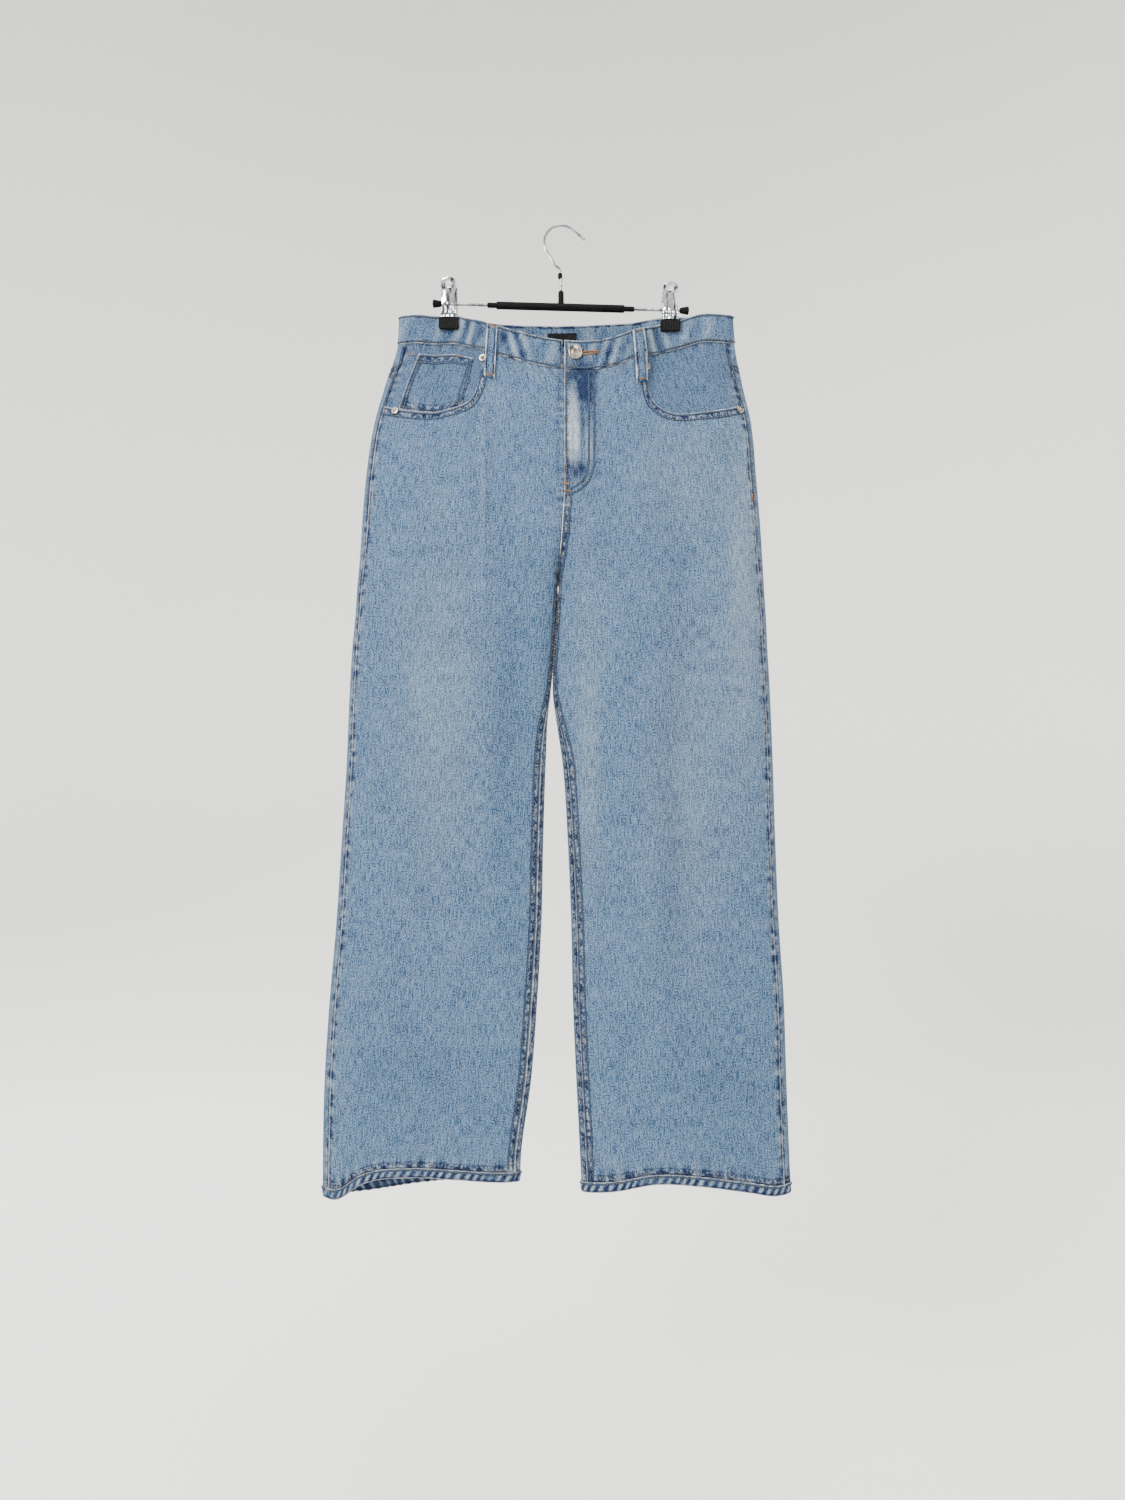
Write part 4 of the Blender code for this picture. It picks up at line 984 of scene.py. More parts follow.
def build_leg_cloth(side, seed):
    """Front and back leg panels, the yoke and the pocket facing of one side."""
    mouth = np.where(FRONT_SHARES < POCKET_SHARE, mouth_height(FRONT_SHARES / POCKET_SHARE), PANEL_TOP)
    heights = level_heights(mouth, HEM_TOP, LEG_ROWS)
    fly = 0.0007 * np.exp(-((1 - FRONT_SHARES) / 0.07) ** 2)[None, :] * (heights > -0.325) * (side == "right")
    piece = dressed(side + "_front_leg_cloth", side, "front", FRONT_SHARES[None, :], heights, "denim",
                    lift=fly, seed=seed, laps=(1, 1, 1, 0), pocket=True)
    declare(mesh_points(piece, LEG_ROWS), side + "_front_panel")

    heights = level_heights(yoke_height(BACK_SHARES) - 0.0006, HEM_TOP, LEG_ROWS)
    piece = dressed(side + "_back_leg_cloth", side, "back", BACK_SHARES[None, :], heights, "denim",
                    seed=seed + 1.3, laps=(0, side == "left", 0, 0))
    declare(mesh_points(piece, LEG_ROWS), side + "_back_panel")

    down = np.linspace(0, 1, 26)[:, None]
    heights = PANEL_TOP * (1 - down) + yoke_height(BACK_SHARES)[None, :] * down
    piece = dressed(side + "_yoke_cloth", side, "back", BACK_SHARES[None, :], heights, "denim",
                    seed=seed + 2.1, laps=(0, side == "left", -1, 1))
    declare(mesh_points(piece, 26), side + "_back_yoke")

    shares = np.linspace(0, 0.5635, 60)[None, :]
    foot = BAND_FOOT - POCKET_DEPTH - FACING_BELOW
    down = np.linspace(0, 1, 44)[:, None]
    heights = (PANEL_TOP + FACING_ABOVE) * (1 - down) + foot * down
    piece = dressed(side + "_pocket_facing_cloth", side, "front", shares, heights, "denim_inside",
                    lift=-DENIM - FACING_GAP, seed=seed + 3.7, laps=(-1, -1, -1, -1))
    declare(mesh_points(piece, 44), side + "_pocket_facing")


def ring_line(side, z, points_each, closed):
    """One row round the garment on a side's maps: front from the inner edge out, then the back."""
    steps = np.linspace(0, 1, points_each)
    front = map_frame(side, "front", 1 - steps, z + 0 * steps)
    back = map_frame(side, "back", steps, z + 0 * steps)
    parts = [np.concatenate([f[:-1], b[:-1] if closed else b]) for f, b in zip(front[:2], back[:2])]
    return parts


def cloth_ring(name, rows, lifts, look, thickness, slot_node, closed, ropes=0.0):
    """A band of cloth from rows of points and normals, lifted by a grid."""
    points = np.array([point + normal * lift[:, None] for (point, normal), lift in zip(rows, lifts)])
    along = row_lengths(points)
    down = row_lengths(np.swapaxes(points, 0, 1)).T
    edge = np.stack([along + 1.0 * closed, along[:, -1:] - along + 1.0 * closed,
                     np.minimum(down, down[-1:] - down)], axis=-1)
    cloth_uv = np.stack([along + 2.4, -down], axis=-1)
    tints = cloth_tints("front", points) * (points[..., 1:2] < 0.004)
    tints[..., 0] += np.clip(ropes, 0, 1) * 0.50
    tints[..., 1] += np.clip(0.35 - np.asarray(ropes), 0, 1) * 1.0 * closed
    # Paler where the band stands proud of its seat and darker where it sinks below it.
    relief = (np.asarray(lifts) - BAND_PROUD) / 0.0009 * (not closed)
    tints[..., 0] += np.clip(relief, 0, 1) * 0.30
    tints[..., 1] += np.clip(-relief, 0, 1) * 0.75
    piece = cloth_piece(name, points, look, thickness, cloth_uv, edge, tints, closed=closed)
    declare(points, slot_node)
    return piece


# Creases beside the button and the loops: row point, reach in points, pace and lean in radians
BAND_CREASES = ((33, 9, 0.62, 5.0), (73, 11, 0.50, -4.0), (480, 10, 0.55, -5.0), (438, 12, 0.47, 4.0),
                (150, 16, 0.40, 3.0), (330, 18, 0.36, -3.0))


def build_band():
    """The waistband in one strip from the fly round the back to the fly."""
    levels = 13
    rows, lifts = [], []
    for step in np.linspace(0, 1, levels):
        z = WAIST_TOP + (BAND_FOOT - WAIST_TOP) * step
        right, left = ring_line("right", z, 130, False), ring_line("left", z, 130, False)
        point, normal = (np.concatenate([a, b[::-1][1:-1]]) for a, b in zip(right, left))
        count = np.arange(len(point))
        rounded = -0.0005 * (abs(step - 0.5) * 2) ** 10
        wave = 0.00045 * np.sin(count * 0.33 + 2 * step) * np.sin(count * 0.071)
        wave = wave * np.exp(-((step - 0.5) / 0.5) ** 2)
        slant = sum(0.0009 * np.sin(count * pace + step * lean) * np.exp(-((count - place) / spread) ** 2)
                    for place, spread, pace, lean in BAND_CREASES)
        fly = 0.0007 * np.exp(-(count / 9.0) ** 2)
        rows.append((point, normal))
        lifts.append(BAND_PROUD + rounded + wave * (count > 10) + slant + fly)
    cloth_ring("waistband_cloth", rows, lifts, "denim_band", BAND_CLOTH, "waistband", False)


def build_hem(side):
    """A turned hem with diagonal roping: a ripple along the hem that leans with height."""
    levels, turns = 11, 0.0096
    rows, lifts, ropes = [], [], []
    for step in np.linspace(0, 1, levels):
        z = HEM_TOP - 0.0003 + (HEM_END - HEM_TOP + 0.0003) * step
        point, normal = ring_line(side, z, 260, True)
        if side == "left":
            point, normal = point[::-1], normal[::-1]
        along = running_length(point)
        phase = 2 * np.pi * (along + step * 0.0065) / turns
        rope = 0.00055 * np.sin(phase + 1.1 * np.sin(phase * 0.17)) * np.sin(np.pi * step) ** 0.5
        rounded = 0.0007 - 0.0009 * step ** 6 - 0.0004 * (1 - step) ** 8
        uneven = 0.62 + 0.38 * np.sin(along * 47.0 + 2.0) * np.sin(along * 113.0)
        ropes.append(rope / 0.00055 * uneven)
        rows.append((point, normal))
        lifts.append(rounded + rope)
    cloth_ring(side + "_hem_cloth", rows, lifts, "denim_hem", HEM_CLOTH, side + "_hem", True,
               np.array(ropes))


COIN_TOP = -0.150


def build_coin_patch():
    """The coin pocket on the photo-left facing, from its own top down to the mouth."""
    part = np.linspace(0.18, 0.85, 34)
    top = np.full(part.shape, COIN_TOP)
    foot = mouth_height(part) + 0.0004
    down = np.linspace(0, 1, 30)[:, None]
    heights = top * (1 - down) + foot * down
    piece = dressed("coin_pocket_cloth", "left", "front", (part * POCKET_SHARE)[None, :], heights,
                    "denim_inside", lift=-0.0004, thickness=0.0010, seed=5.0)
    declare(mesh_points(piece, 30), "coin_pocket")


POCKET_TOP = -0.222
POCKET_FOOT = -0.365
POCKET_POINT = 0.016


def back_pocket_grid(inset=0.0, foot_inset=0.0):
    """Shares and heights of a back pocket: a width that tapers downwards and a foot that comes to a
    point, with an inset for the rows of stitches."""
    shares = (0.21 + inset, 0.85 - inset)
    across = np.linspace(0, 1, 37)[None, :]
    down = np.linspace(0, 1, 46)[:, None]
    share = shares[0] + (shares[1] - shares[0]) * across + 0.010 * down * np.sign(0.5 - across) * (
        np.abs(across - 0.5) * 2) ** 3
    foot = POCKET_FOOT + foot_inset + POCKET_POINT * np.abs(across - 0.5) * 2
    return share, POCKET_TOP * (1 - down) + foot * down


def build_back_patch(side):
    """A back pocket with a pointed foot."""
    shares, heights = back_pocket_grid()
    piece = dressed(side + "_back_pocket_cloth", side, "back", shares, heights, "denim", lift=0.0020,
                    thickness=DENIM, seed=7.0 if side == "left" else 8.5)
    declare(mesh_points(piece, 46), side + "_back_pocket")


LOOPS = (
    ("belt_loop_front_left", "left", "front", -0.0785, -0.003),
    ("belt_loop_front_right", "right", "front", 0.0865, 0.004),
    ("belt_loop_back_left", "left", "back", -0.1000, -0.002),
    ("belt_loop_back_right", "right", "back", 0.1060, 0.002),
    ("belt_loop_centre_back", "right", "back", 0.0030, 0.000),
)
LOOP_WIDTH, LOOP_CLOTH, LOOP_TOP, LOOP_FOOT = 0.0115, 0.0015, -0.1055, -0.168


def loop_lines(side, face, x_top, lean, across, down):
    """Points and normals of a belt loop's outside: seated at both ends and bowed out between them."""
    x = x_top + lean * down + across * LOOP_WIDTH
    z = LOOP_TOP + (LOOP_FOOT - LOOP_TOP) * down + 0 * across
    point, normal = face_frame(side, face, x, z)
    on_band = smooth_step((z - BAND_FOOT + 0.004) / 0.004)
    seat = 0.0005 + 0.0010 * down
    crown = 0.0004 * np.cos(np.pi * across) + 0.00025 * np.cos(2 * np.pi * across / 0.5)
    lift = BAND_PROUD * on_band + LOOP_CLOTH + seat + 0.0022 * np.sin(np.pi * np.clip(down, 0, 1)) ** 0.7
    lift = lift + (crown - 0.0002) * (1 - 0.5 * (np.abs(down - 0.5) * 2) ** 6)
    return point + normal * lift[..., None], normal


def build_loop(name, side, face, x_top, lean):
    """One belt loop."""
    down, across = np.linspace(0, 1, 40)[:, None], np.linspace(-0.5, 0.5, 15)[None, :]
    points, _ = loop_lines(side, face, x_top, lean, across, down)
    from_left = (across + 0.5) * LOOP_WIDTH + 0 * down
    from_top = down * (LOOP_TOP - LOOP_FOOT) + 0 * across
    edges = np.stack([from_left, LOOP_WIDTH - from_left, from_top + 0.001], axis=-1)
    cloth_uv = np.stack([from_left + 3.9 + x_top, -from_top], axis=-1)
    tints = np.zeros(points.shape)
    if face == "back":
        points = points[:, ::-1]
    piece = cloth_piece(name + "_cloth", points, "denim_loop", LOOP_CLOTH, cloth_uv, edges, tints)
    declare(points, name)


SHIELD_FOOT, SHIELD_WIDTH, SHIELD_TAPER, SHIELD_BEHIND = -0.312, 0.048, 0.022, 0.0052


def build_fly_cloth():
    """The fly shield behind the front: a strip that narrows towards its foot."""
    down, across = np.linspace(0, 1, 30)[:, None], np.linspace(0, 1, 14)[None, :]
    z = BAND_FOOT - 0.002 + (SHIELD_FOOT - BAND_FOOT) * down + 0 * across
    x = FLY_X - 0.012 + across * (SHIELD_WIDTH - SHIELD_TAPER * down ** 3)
    point, normal = face_frame("right", "front", x, z)
    points = point - normal * SHIELD_BEHIND
    zeros = np.zeros(points.shape) + 0.03
    cloth_uv = np.stack([x + 4.6, z], axis=-1)
    piece = cloth_piece("fly_shield_cloth", points, "denim_inside", DENIM, cloth_uv, zeros, 0 * zeros)
    declare(points, "fly_shield")


# Sewing


STITCH_LENGTH, STITCH_PITCH, THREAD_RADIUS = 0.0025, 0.0036, 0.00045
TWIN_ROWS = (0.0018, 0.0082)
TACK_PITCH, TACK_RADIUS = 0.00055, 0.00036
BUTTONHOLE_Z = WAIST_TOP - 0.0142


def painted_furrow_shade_piece(name, lines, look, width=0.0021):
    """A dark ribbon along each row of stitches: painted shade of the furrow that the row pulls into the
    cloth.
    """
    points, faces, start = [], [], 0
    for centre, up, tangent, _, _ in lines:
        across = np.cross(tangent, up) * width / 2
        ribbon = np.stack([centre - across - up * 0.00025, centre, centre + across - up * 0.00025], axis=1)
        points.append(ribbon.reshape(-1, 3))
        faces += face_tuples(grid_faces(len(centre), 3) + start)
        start += 3 * len(centre)
    return new_piece(name, np.concatenate(points), faces, look)


def seam_row(side, face, shares, heights, lift):
    """A row of topstitches along a line of shares and heights on a map."""
    shares, heights = np.broadcast_arrays(np.asarray(shares, float), np.asarray(heights, float))
    point, normal, _, _ = map_frame(side, face, shares, heights)
    centre, up, tangent = paced(point + normal * (lift + 0.00038), normal, STITCH_PITCH)
    return centre, up, tangent, STITCH_LENGTH, THREAD_RADIUS


def beside_edge(side, face, edge_share, distance, heights):
    """Shares that lie at a set distance inside one end of a map's rows."""
    ladder = np.linspace(MAP_TOP, MAP_FOOT, MAP_LEVELS)
    length = row_lengths(MAPS[side][face])[:, -1]
    reach = distance / np.interp(-np.asarray(heights), -ladder, length)
    return reach if edge_share == 0 else 1 - reach


def bar_tack(point, normal, tangent, length, width):
    """A bar tack: close stitches across a short bar, with points given at its middle."""
    count = int(length / TACK_PITCH)
    at = (np.arange(count) - (count - 1) / 2) * TACK_PITCH
    centre = point + tangent * at[:, None]
    across = np.cross(normal, tangent)
    slant = across + tangent * 0.18 * np.where(np.arange(count) % 2, 1, -1)[:, None]
    slant /= np.linalg.norm(slant, axis=-1, keepdims=True)
    return centre + normal * 0.0001, np.tile(normal, (count, 1)), slant, width, TACK_RADIUS


def tack_on_face(side, face, x, z, lift, direction, length, width=0.0019):
    """A bar tack at a garment place, along x (direction 0) or down the cloth (direction 1)."""
    point, normal = face_frame(side, face, np.array(x), np.array(z))
    ahead, _ = face_frame(side, face, np.array(x + 0.001 * (1 - direction)), np.array(z - 0.001 * direction))
    tangent = (ahead - point) / np.linalg.norm(ahead - point)
    return bar_tack(point + normal * lift, normal, tangent, length, width)


def pocket_rows(side):
    """Two rows of stitches below the pocket mouth: the mouth's curve moved out along its normal."""
    part = np.concatenate([np.linspace(0, 0.94, 80), np.linspace(0.94, 1, 60)[1:]])
    ladder = np.linspace(MAP_TOP, MAP_FOOT, MAP_LEVELS)
    length = row_lengths(MAPS[side]["front"])[:, -1]
    height = mouth_height(part)
    span = np.interp(-height, -ladder, length)
    curve = np.stack([part * POCKET_SHARE * span, height], axis=-1)
    direction = np.gradient(curve, axis=0)
    direction /= np.linalg.norm(direction, axis=-1, keepdims=True)
    outward = np.stack([direction[:, 1], -direction[:, 0]], axis=-1)
    rows = []
    for distance in TWIN_ROWS:
        moved = curve + outward * distance
        keep = moved[:, 1] < PANEL_TOP - 0.001
        moved = moved[keep]
        span_at = np.interp(-moved[:, 1], -ladder, length)
        rows.append(seam_row(side, "front", moved[:, 0] / span_at, moved[:, 1], 0.0002))
    return rows


def leg_rows(side):
    """Topstitches of a leg: pocket mouth, side seam, inseam, yoke, back pocket and hem."""
    rows = pocket_rows(side)
    tall = np.linspace(-0.150, -0.318, 60)
    rows.append(seam_row(side, "back", beside_edge(side, "back", 0, 0.0016, tall), tall, 0.0002))
    inner = np.linspace(-0.425, HEM_TOP + 0.002, 260)
    for distance in TWIN_ROWS:
        rows.append(seam_row(side, "front", beside_edge(side, "front", 1, distance, inner), inner, 0.0002))
    shares = np.linspace(0.004, 0.996, 120)
    for rise in TWIN_ROWS:
        rows.append(seam_row(side, "back", shares, yoke_height(shares) + rise, 0.0002))
    around = np.linspace(0.004, 0.996, 140)
    for face in ("front", "back"):
        rows.append(seam_row(side, face, around, HEM_TOP - 0.0022 + 0 * around, 0.0012))
    return rows


def back_pocket_rows(side):
    """Two rows round a back pocket and two across its turned top."""
    rows = []
    for inset in (0.008, 0.033):
        shares, heights = back_pocket_grid(inset, inset * 0.2)
        outline_path = [(shares[:, 0], heights[:, 0]), (shares[-1], heights[-1]),
                        (shares[::-1, -1], heights[::-1, -1])]
        for share, height in outline_path:
            rows.append(seam_row(side, "back", share, height, 0.0022))
    shares, _ = back_pocket_grid(0.004)
    for drop in (0.0020, 0.0150):
        rows.append(seam_row(side, "back", shares[0], POCKET_TOP - drop + 0 * shares[0], 0.0022))
    return rows


def centre_rows():
    """Rows at the centre front below the fly, the centre back and through the yokes."""
    front = np.linspace(-0.291, -0.418, 50)
    rows = [seam_row("right", "front", beside_edge("right", "front", 1, distance, front), front, 0.0003)
            for distance in (0.0016, 0.0070)]
    back = np.linspace(PANEL_TOP - 0.001, -0.418, 120)
    rows += [seam_row("left", "back", beside_edge("left", "back", 1, distance, back), back, 0.0002)
             for distance in (0.0016, 0.0076)]
    return rows


def band_rows():
    """Rows near the top and the foot of the band, and down its front ends."""
    rows = []
    for side in ("left", "right"):
        for height in (WAIST_TOP - 0.0022, BAND_FOOT + 0.0022):
            for face, first, last in (("front", 0.004, 0.988), ("back", 0.0, 1.0)):
                shares = np.linspace(first, last, 120)
                rows.append(seam_row(side, face, shares, height + 0 * shares, BAND_PROUD + 0.0003))
        down = np.linspace(WAIST_TOP - 0.003, BAND_FOOT + 0.003, 20)
        shares = beside_edge(side, "front", 1, 0.0026, down)
        rows.append(seam_row(side, "front", shares, down, BAND_PROUD + 0.0009 * (side == "right") + 0.0002))
    return rows


FLY_CURVE = ((33.9, -155), (34.1, -200), (34.3, -245), (33.9, -284), (31.8, -293), (27.4, -302), (18.5, -310),
             (3.5, -316))


def fly_rows():
    """The fly's curved double row, from the band down and in to the centre."""
    knots = np.array(FLY_CURVE, float)
    t = np.linspace(0, len(knots) - 1, 200)
    x = np.interp(t, np.arange(len(knots)), knots[:, 0])
    z = np.interp(t, np.arange(len(knots)), knots[:, 1])
    kernel = np.hanning(25) / np.hanning(25).sum()
    x, z = (np.convolve(np.pad(v, 12, mode="edge"), kernel, "valid") for v in (x, z))
    direction = np.gradient(np.stack([x, z], axis=-1), axis=0)
    direction /= np.linalg.norm(direction, axis=-1, keepdims=True)
    rows = []
    for shift in (-3.0, 3.0):
        at_x = (x + direction[:, 1] * shift) / 1000
        world = (z - direction[:, 0] * shift) / 1000
        height = garment_height("right", "front", at_x, world)
        keep = height < PANEL_TOP - 0.001
        point, normal = face_frame("right", "front", at_x[keep], height[keep])
        centre, up, tangent = paced(point + normal * 0.0012, normal, STITCH_PITCH)
        rows.append((centre, up, tangent, STITCH_LENGTH, THREAD_RADIUS))
    edge = np.linspace(PANEL_TOP - 0.002, -0.300, 60)
    rows.append(seam_row("right", "front", beside_edge("right", "front", 1, 0.0022, edge), edge, 0.0010))
    return rows


def coin_rows():
    """Rows across the top and down the sides of the coin pocket."""
    rows = []
    across = np.linspace(0.20, 0.83, 30) * POCKET_SHARE
    for drop in (0.0020, 0.0105):
        rows.append(seam_row("left", "front", across, COIN_TOP - drop + 0 * across, 0.0))
    for part, inner in ((0.20, 0.235), (0.83, 0.795)):
        for at in (part, inner):
            down = np.linspace(COIN_TOP - 0.0015, mouth_height(at) + 0.002, 30)
            rows.append(seam_row("left", "front", at * POCKET_SHARE + 0 * down, down, 0.0))
    return rows


def loop_rows():
    """Two rows down each belt loop."""
    rows = []
    for _, side, face, x_top, lean in LOOPS:
        down = np.linspace(0.04, 0.96, 40)
        for across in (-0.26, 0.26):
            point, normal = loop_lines(side, face, x_top, lean, across + 0 * down, down)
            centre, up, tangent = paced(point, normal, STITCH_PITCH)
            rows.append((centre, up, tangent, STITCH_LENGTH, THREAD_RADIUS))
    return rows


def tan_tacks():
    """Bar tacks in tan: loop ends, pocket ends, coin pocket, fly, side seams and the buttonhole."""
    rows = []
    for _, side, face, x_top, lean in LOOPS:
        for down in (0.045, 0.955):
            point, normal = loop_lines(side, face, x_top, lean, np.array(0.0), np.array(down))
            beside, _ = loop_lines(side, face, x_top, lean, np.array(0.1), np.array(down))
            tangent = (beside - point) / np.linalg.norm(beside - point)
            rows.append(bar_tack(point, normal, tangent, 0.0090, 0.0019))
    rows += [tack_on_face("left", "front", x, -0.1512, 0.0003, 0, 0.0062) for x in (-0.1740, -0.1180)]
    rows += [tack_on_face("right", "front", 0.0050, -0.2880, 0.0012, 0, 0.0080),
             tack_on_face("right", "front", 0.0046, -0.2985, 0.0012, 0, 0.0080),
             tack_on_face("left", "front", -0.2155, -0.3170, 0.0004, 1, 0.0085),
             tack_on_face("right", "front", 0.2195, -0.3170, 0.0004, 1, 0.0085)]
    for side in ("left", "right"):
        for share in (0.225, 0.835):
            point, normal, across, _ = map_frame(side, "back", np.array(share), np.array(POCKET_TOP - 0.005))
            rows.append(bar_tack(point + normal * 0.0024, normal, np.cross(normal, across), 0.0090, 0.0019))
    for shift in (-0.0014, 0.0014):
        rows.append(tack_on_face("right", "front", 0.0325, BUTTONHOLE_Z + shift, BAND_PROUD + 0.0010, 0,
                                 0.0170, 0.0020))
    rows.append(tack_on_face("right", "front", 0.0415, BUTTONHOLE_Z, BAND_PROUD + 0.0011, 1, 0.0050, 0.0020))
    return rows


# Fittings and hanger


def turned_piece(name, profile, segments, look, node, point, normal, flutes=0, flute_depth=0.0):
    """A turned fitting: radius and height from a profile, carried round the outward normal at a point.
    Flutes are a cosine ripple of the radius that fades to the middle."""
    profile = np.array(profile)
    reference = np.array([1.0, 0.0, 0.0])
    side = np.cross(normal, reference)
    side /= np.linalg.norm(side)
    other = np.cross(normal, side)
    angle = np.linspace(0, 2 * np.pi, segments, endpoint=False)
    rim = profile[:, :1]
    radius = rim * (1 + flute_depth * np.cos(flutes * angle)[None, :] * (rim / rim.max()) ** 2)
    round_it = side * np.cos(angle)[None, :, None] - other * np.sin(angle)[None, :, None]
    points = point + radius[..., None] * round_it + profile[:, 1][:, None, None] * normal
    count = len(profile)
    faces = face_tuples(grid_faces(count, segments, closed=True))
    caps = [tuple(range(segments))[::-1], tuple(range((count - 1) * segments, count * segments))]
    piece = new_piece(name, points, faces + caps, look)
    recalculate(piece)
    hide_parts(node)
    return piece


def recalculate(piece):
    """Point the faces of a closed piece outwards."""
    mesh = bmesh.new()
    mesh.from_mesh(piece.data)
    bmesh.ops.recalc_face_normals(mesh, faces=mesh.faces)
    mesh.to_mesh(piece.data)
    mesh.free()


BUTTON_PROFILE = ((0.0001, -0.0004), (0.0072, -0.0004), (0.0080, 0.0002), (0.0085, 0.0010), (0.0084, 0.0017),
                  (0.0079, 0.0023), (0.0073, 0.0026), (0.0068, 0.0026), (0.0064, 0.0024), (0.0061, 0.0025),
                  (0.0057, 0.0030), (0.0048, 0.0036), (0.0034, 0.0040), (0.0018, 0.0042), (0.0001, 0.0042))
RIVET_PROFILE = ((0.0001, -0.0008), (0.0038, -0.0008), (0.0043, -0.0002), (0.0044, 0.0004), (0.0041, 0.0009),
                 (0.0035, 0.0012), (0.0029, 0.0012), (0.0024, 0.0011), (0.0020, 0.0015), (0.0017, 0.0022),
                 (0.0011, 0.0026), (0.0001, 0.0027))
RIVETS = (
    ("rivet_left_inner", "left", -0.0893, -0.1475),
    ("rivet_left_side", "left", -0.1905, -0.2185),
    ("rivet_right_inner", "right", 0.0985, -0.1510),
    ("rivet_right_side", "right", 0.2050, -0.2170),
)
BUTTON_X = 0.0158

WIRE = 0.0015
HOOK_RADIUS = 0.020
HOOK_CENTRE_Z = -0.0185
HOOK_TIP = (0.0274, -0.0156)
NECK_TOP, NECK_FOOT = (-0.0020, -0.0515), (-0.0006, -0.0745)
NECK_PATH = ((-0.0122, -0.0365), (-0.0078, -0.0440), (-0.0038, -0.0482), NECK_TOP, NECK_FOOT)
TIP_RADIUS = 0.0021
COLLAR_LENGTH = 0.0065
BAR_HEIGHT = -0.0934
BAR_SLOPE = np.tan(np.radians(1.6))
BAR_RADIUS, SOCKET_RADIUS, ARM_RADIUS = 0.0044, 0.0030, 0.0017
BAR_ENDS = {"left": -0.0766, "right": 0.0740}
SOCKET_ENDS = {"left": -0.0863, "right": 0.0847}
CAP_INNER = {"left": -0.1382, "right": 0.1366}
CAP_LENGTH = 0.0115
CLIP_WIDTH = 0.0175
CLIP_TOP = {"left": -0.0629, "right": -0.0690}
PAD_TOP = {"left": -0.1085, "right": -0.1110}
PAD_HEIGHT, PAD_WIDTH, PAD_THICK = 0.0135, 0.0230, 0.0045
SPRING_RADIUS = 0.0048
JAW_CLOTH = 0.0011


def bar_z(x):
    """Height of the tilted bar's centre line."""
    return BAR_HEIGHT - x * BAR_SLOPE


def swept(name, path, radii, sides, look, node, reference=(0.0, 1.0, 0.0)):
    """A round rod: a circle of changing radius carried along a path, its ends closed."""
    path, radii = np.asarray(path, float), np.asarray(radii, float)
    tangent = np.gradient(path, axis=0)
    tangent /= np.linalg.norm(tangent, axis=-1, keepdims=True)
    first = np.cross(tangent, np.asarray(reference))
    first /= np.linalg.norm(first, axis=-1, keepdims=True)
    second = np.cross(tangent, first)
    angle = np.linspace(0, 2 * np.pi, sides, endpoint=False)[None, :, None]
    points = path[:, None, :] + radii[:, None, None] * (
        first[:, None, :] * np.cos(angle) + second[:, None, :] * np.sin(angle))
    count = len(path)
    faces = face_tuples(grid_faces(count, sides, closed=True))
    faces += [tuple(range(sides)), tuple(range((count - 1) * sides, count * sides))[::-1]]
    piece = new_piece(name, points, faces, look)
    recalculate(piece)
    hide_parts(node)


def smooth_path(knots, count):
    """A path through knots by a smooth cubic on the length along them."""
    knots = np.asarray(knots, float)
    length = running_length(knots)
    at = np.linspace(0, length[-1], count)
    slopes = np.gradient(knots, length, axis=0)
    low = np.clip(np.searchsorted(length, at) - 1, 0, len(length) - 2)
    step = (length[low + 1] - length[low])[:, None]
    t = (at - length[low])[:, None] / step
    return smooth_cubic(t, step, knots[low], knots[low + 1], slopes[low], slopes[low + 1])


def capped(length_at, length, radius, round_end):
    """Radii along a rod whose ends are rounded over a set length."""
    near = np.clip(np.minimum(length_at, length - length_at) / round_end, 0, 1)
    return radius * np.sqrt(np.clip(1 - (1 - near) ** 2, 0.0004, 1))


def rod_between(name, start, end, radius, look, node, round_end):
    """A straight rod on the tilted bar's line, from one x to another."""
    t = eased(40, 0.6)
    x = start + (end - start) * t
    path = np.stack([x, 0 * x, bar_z(x)], axis=-1)
    length = abs(end - start)
    swept(name, path, capped(t * length, length, radius, round_end), 28, look, node)


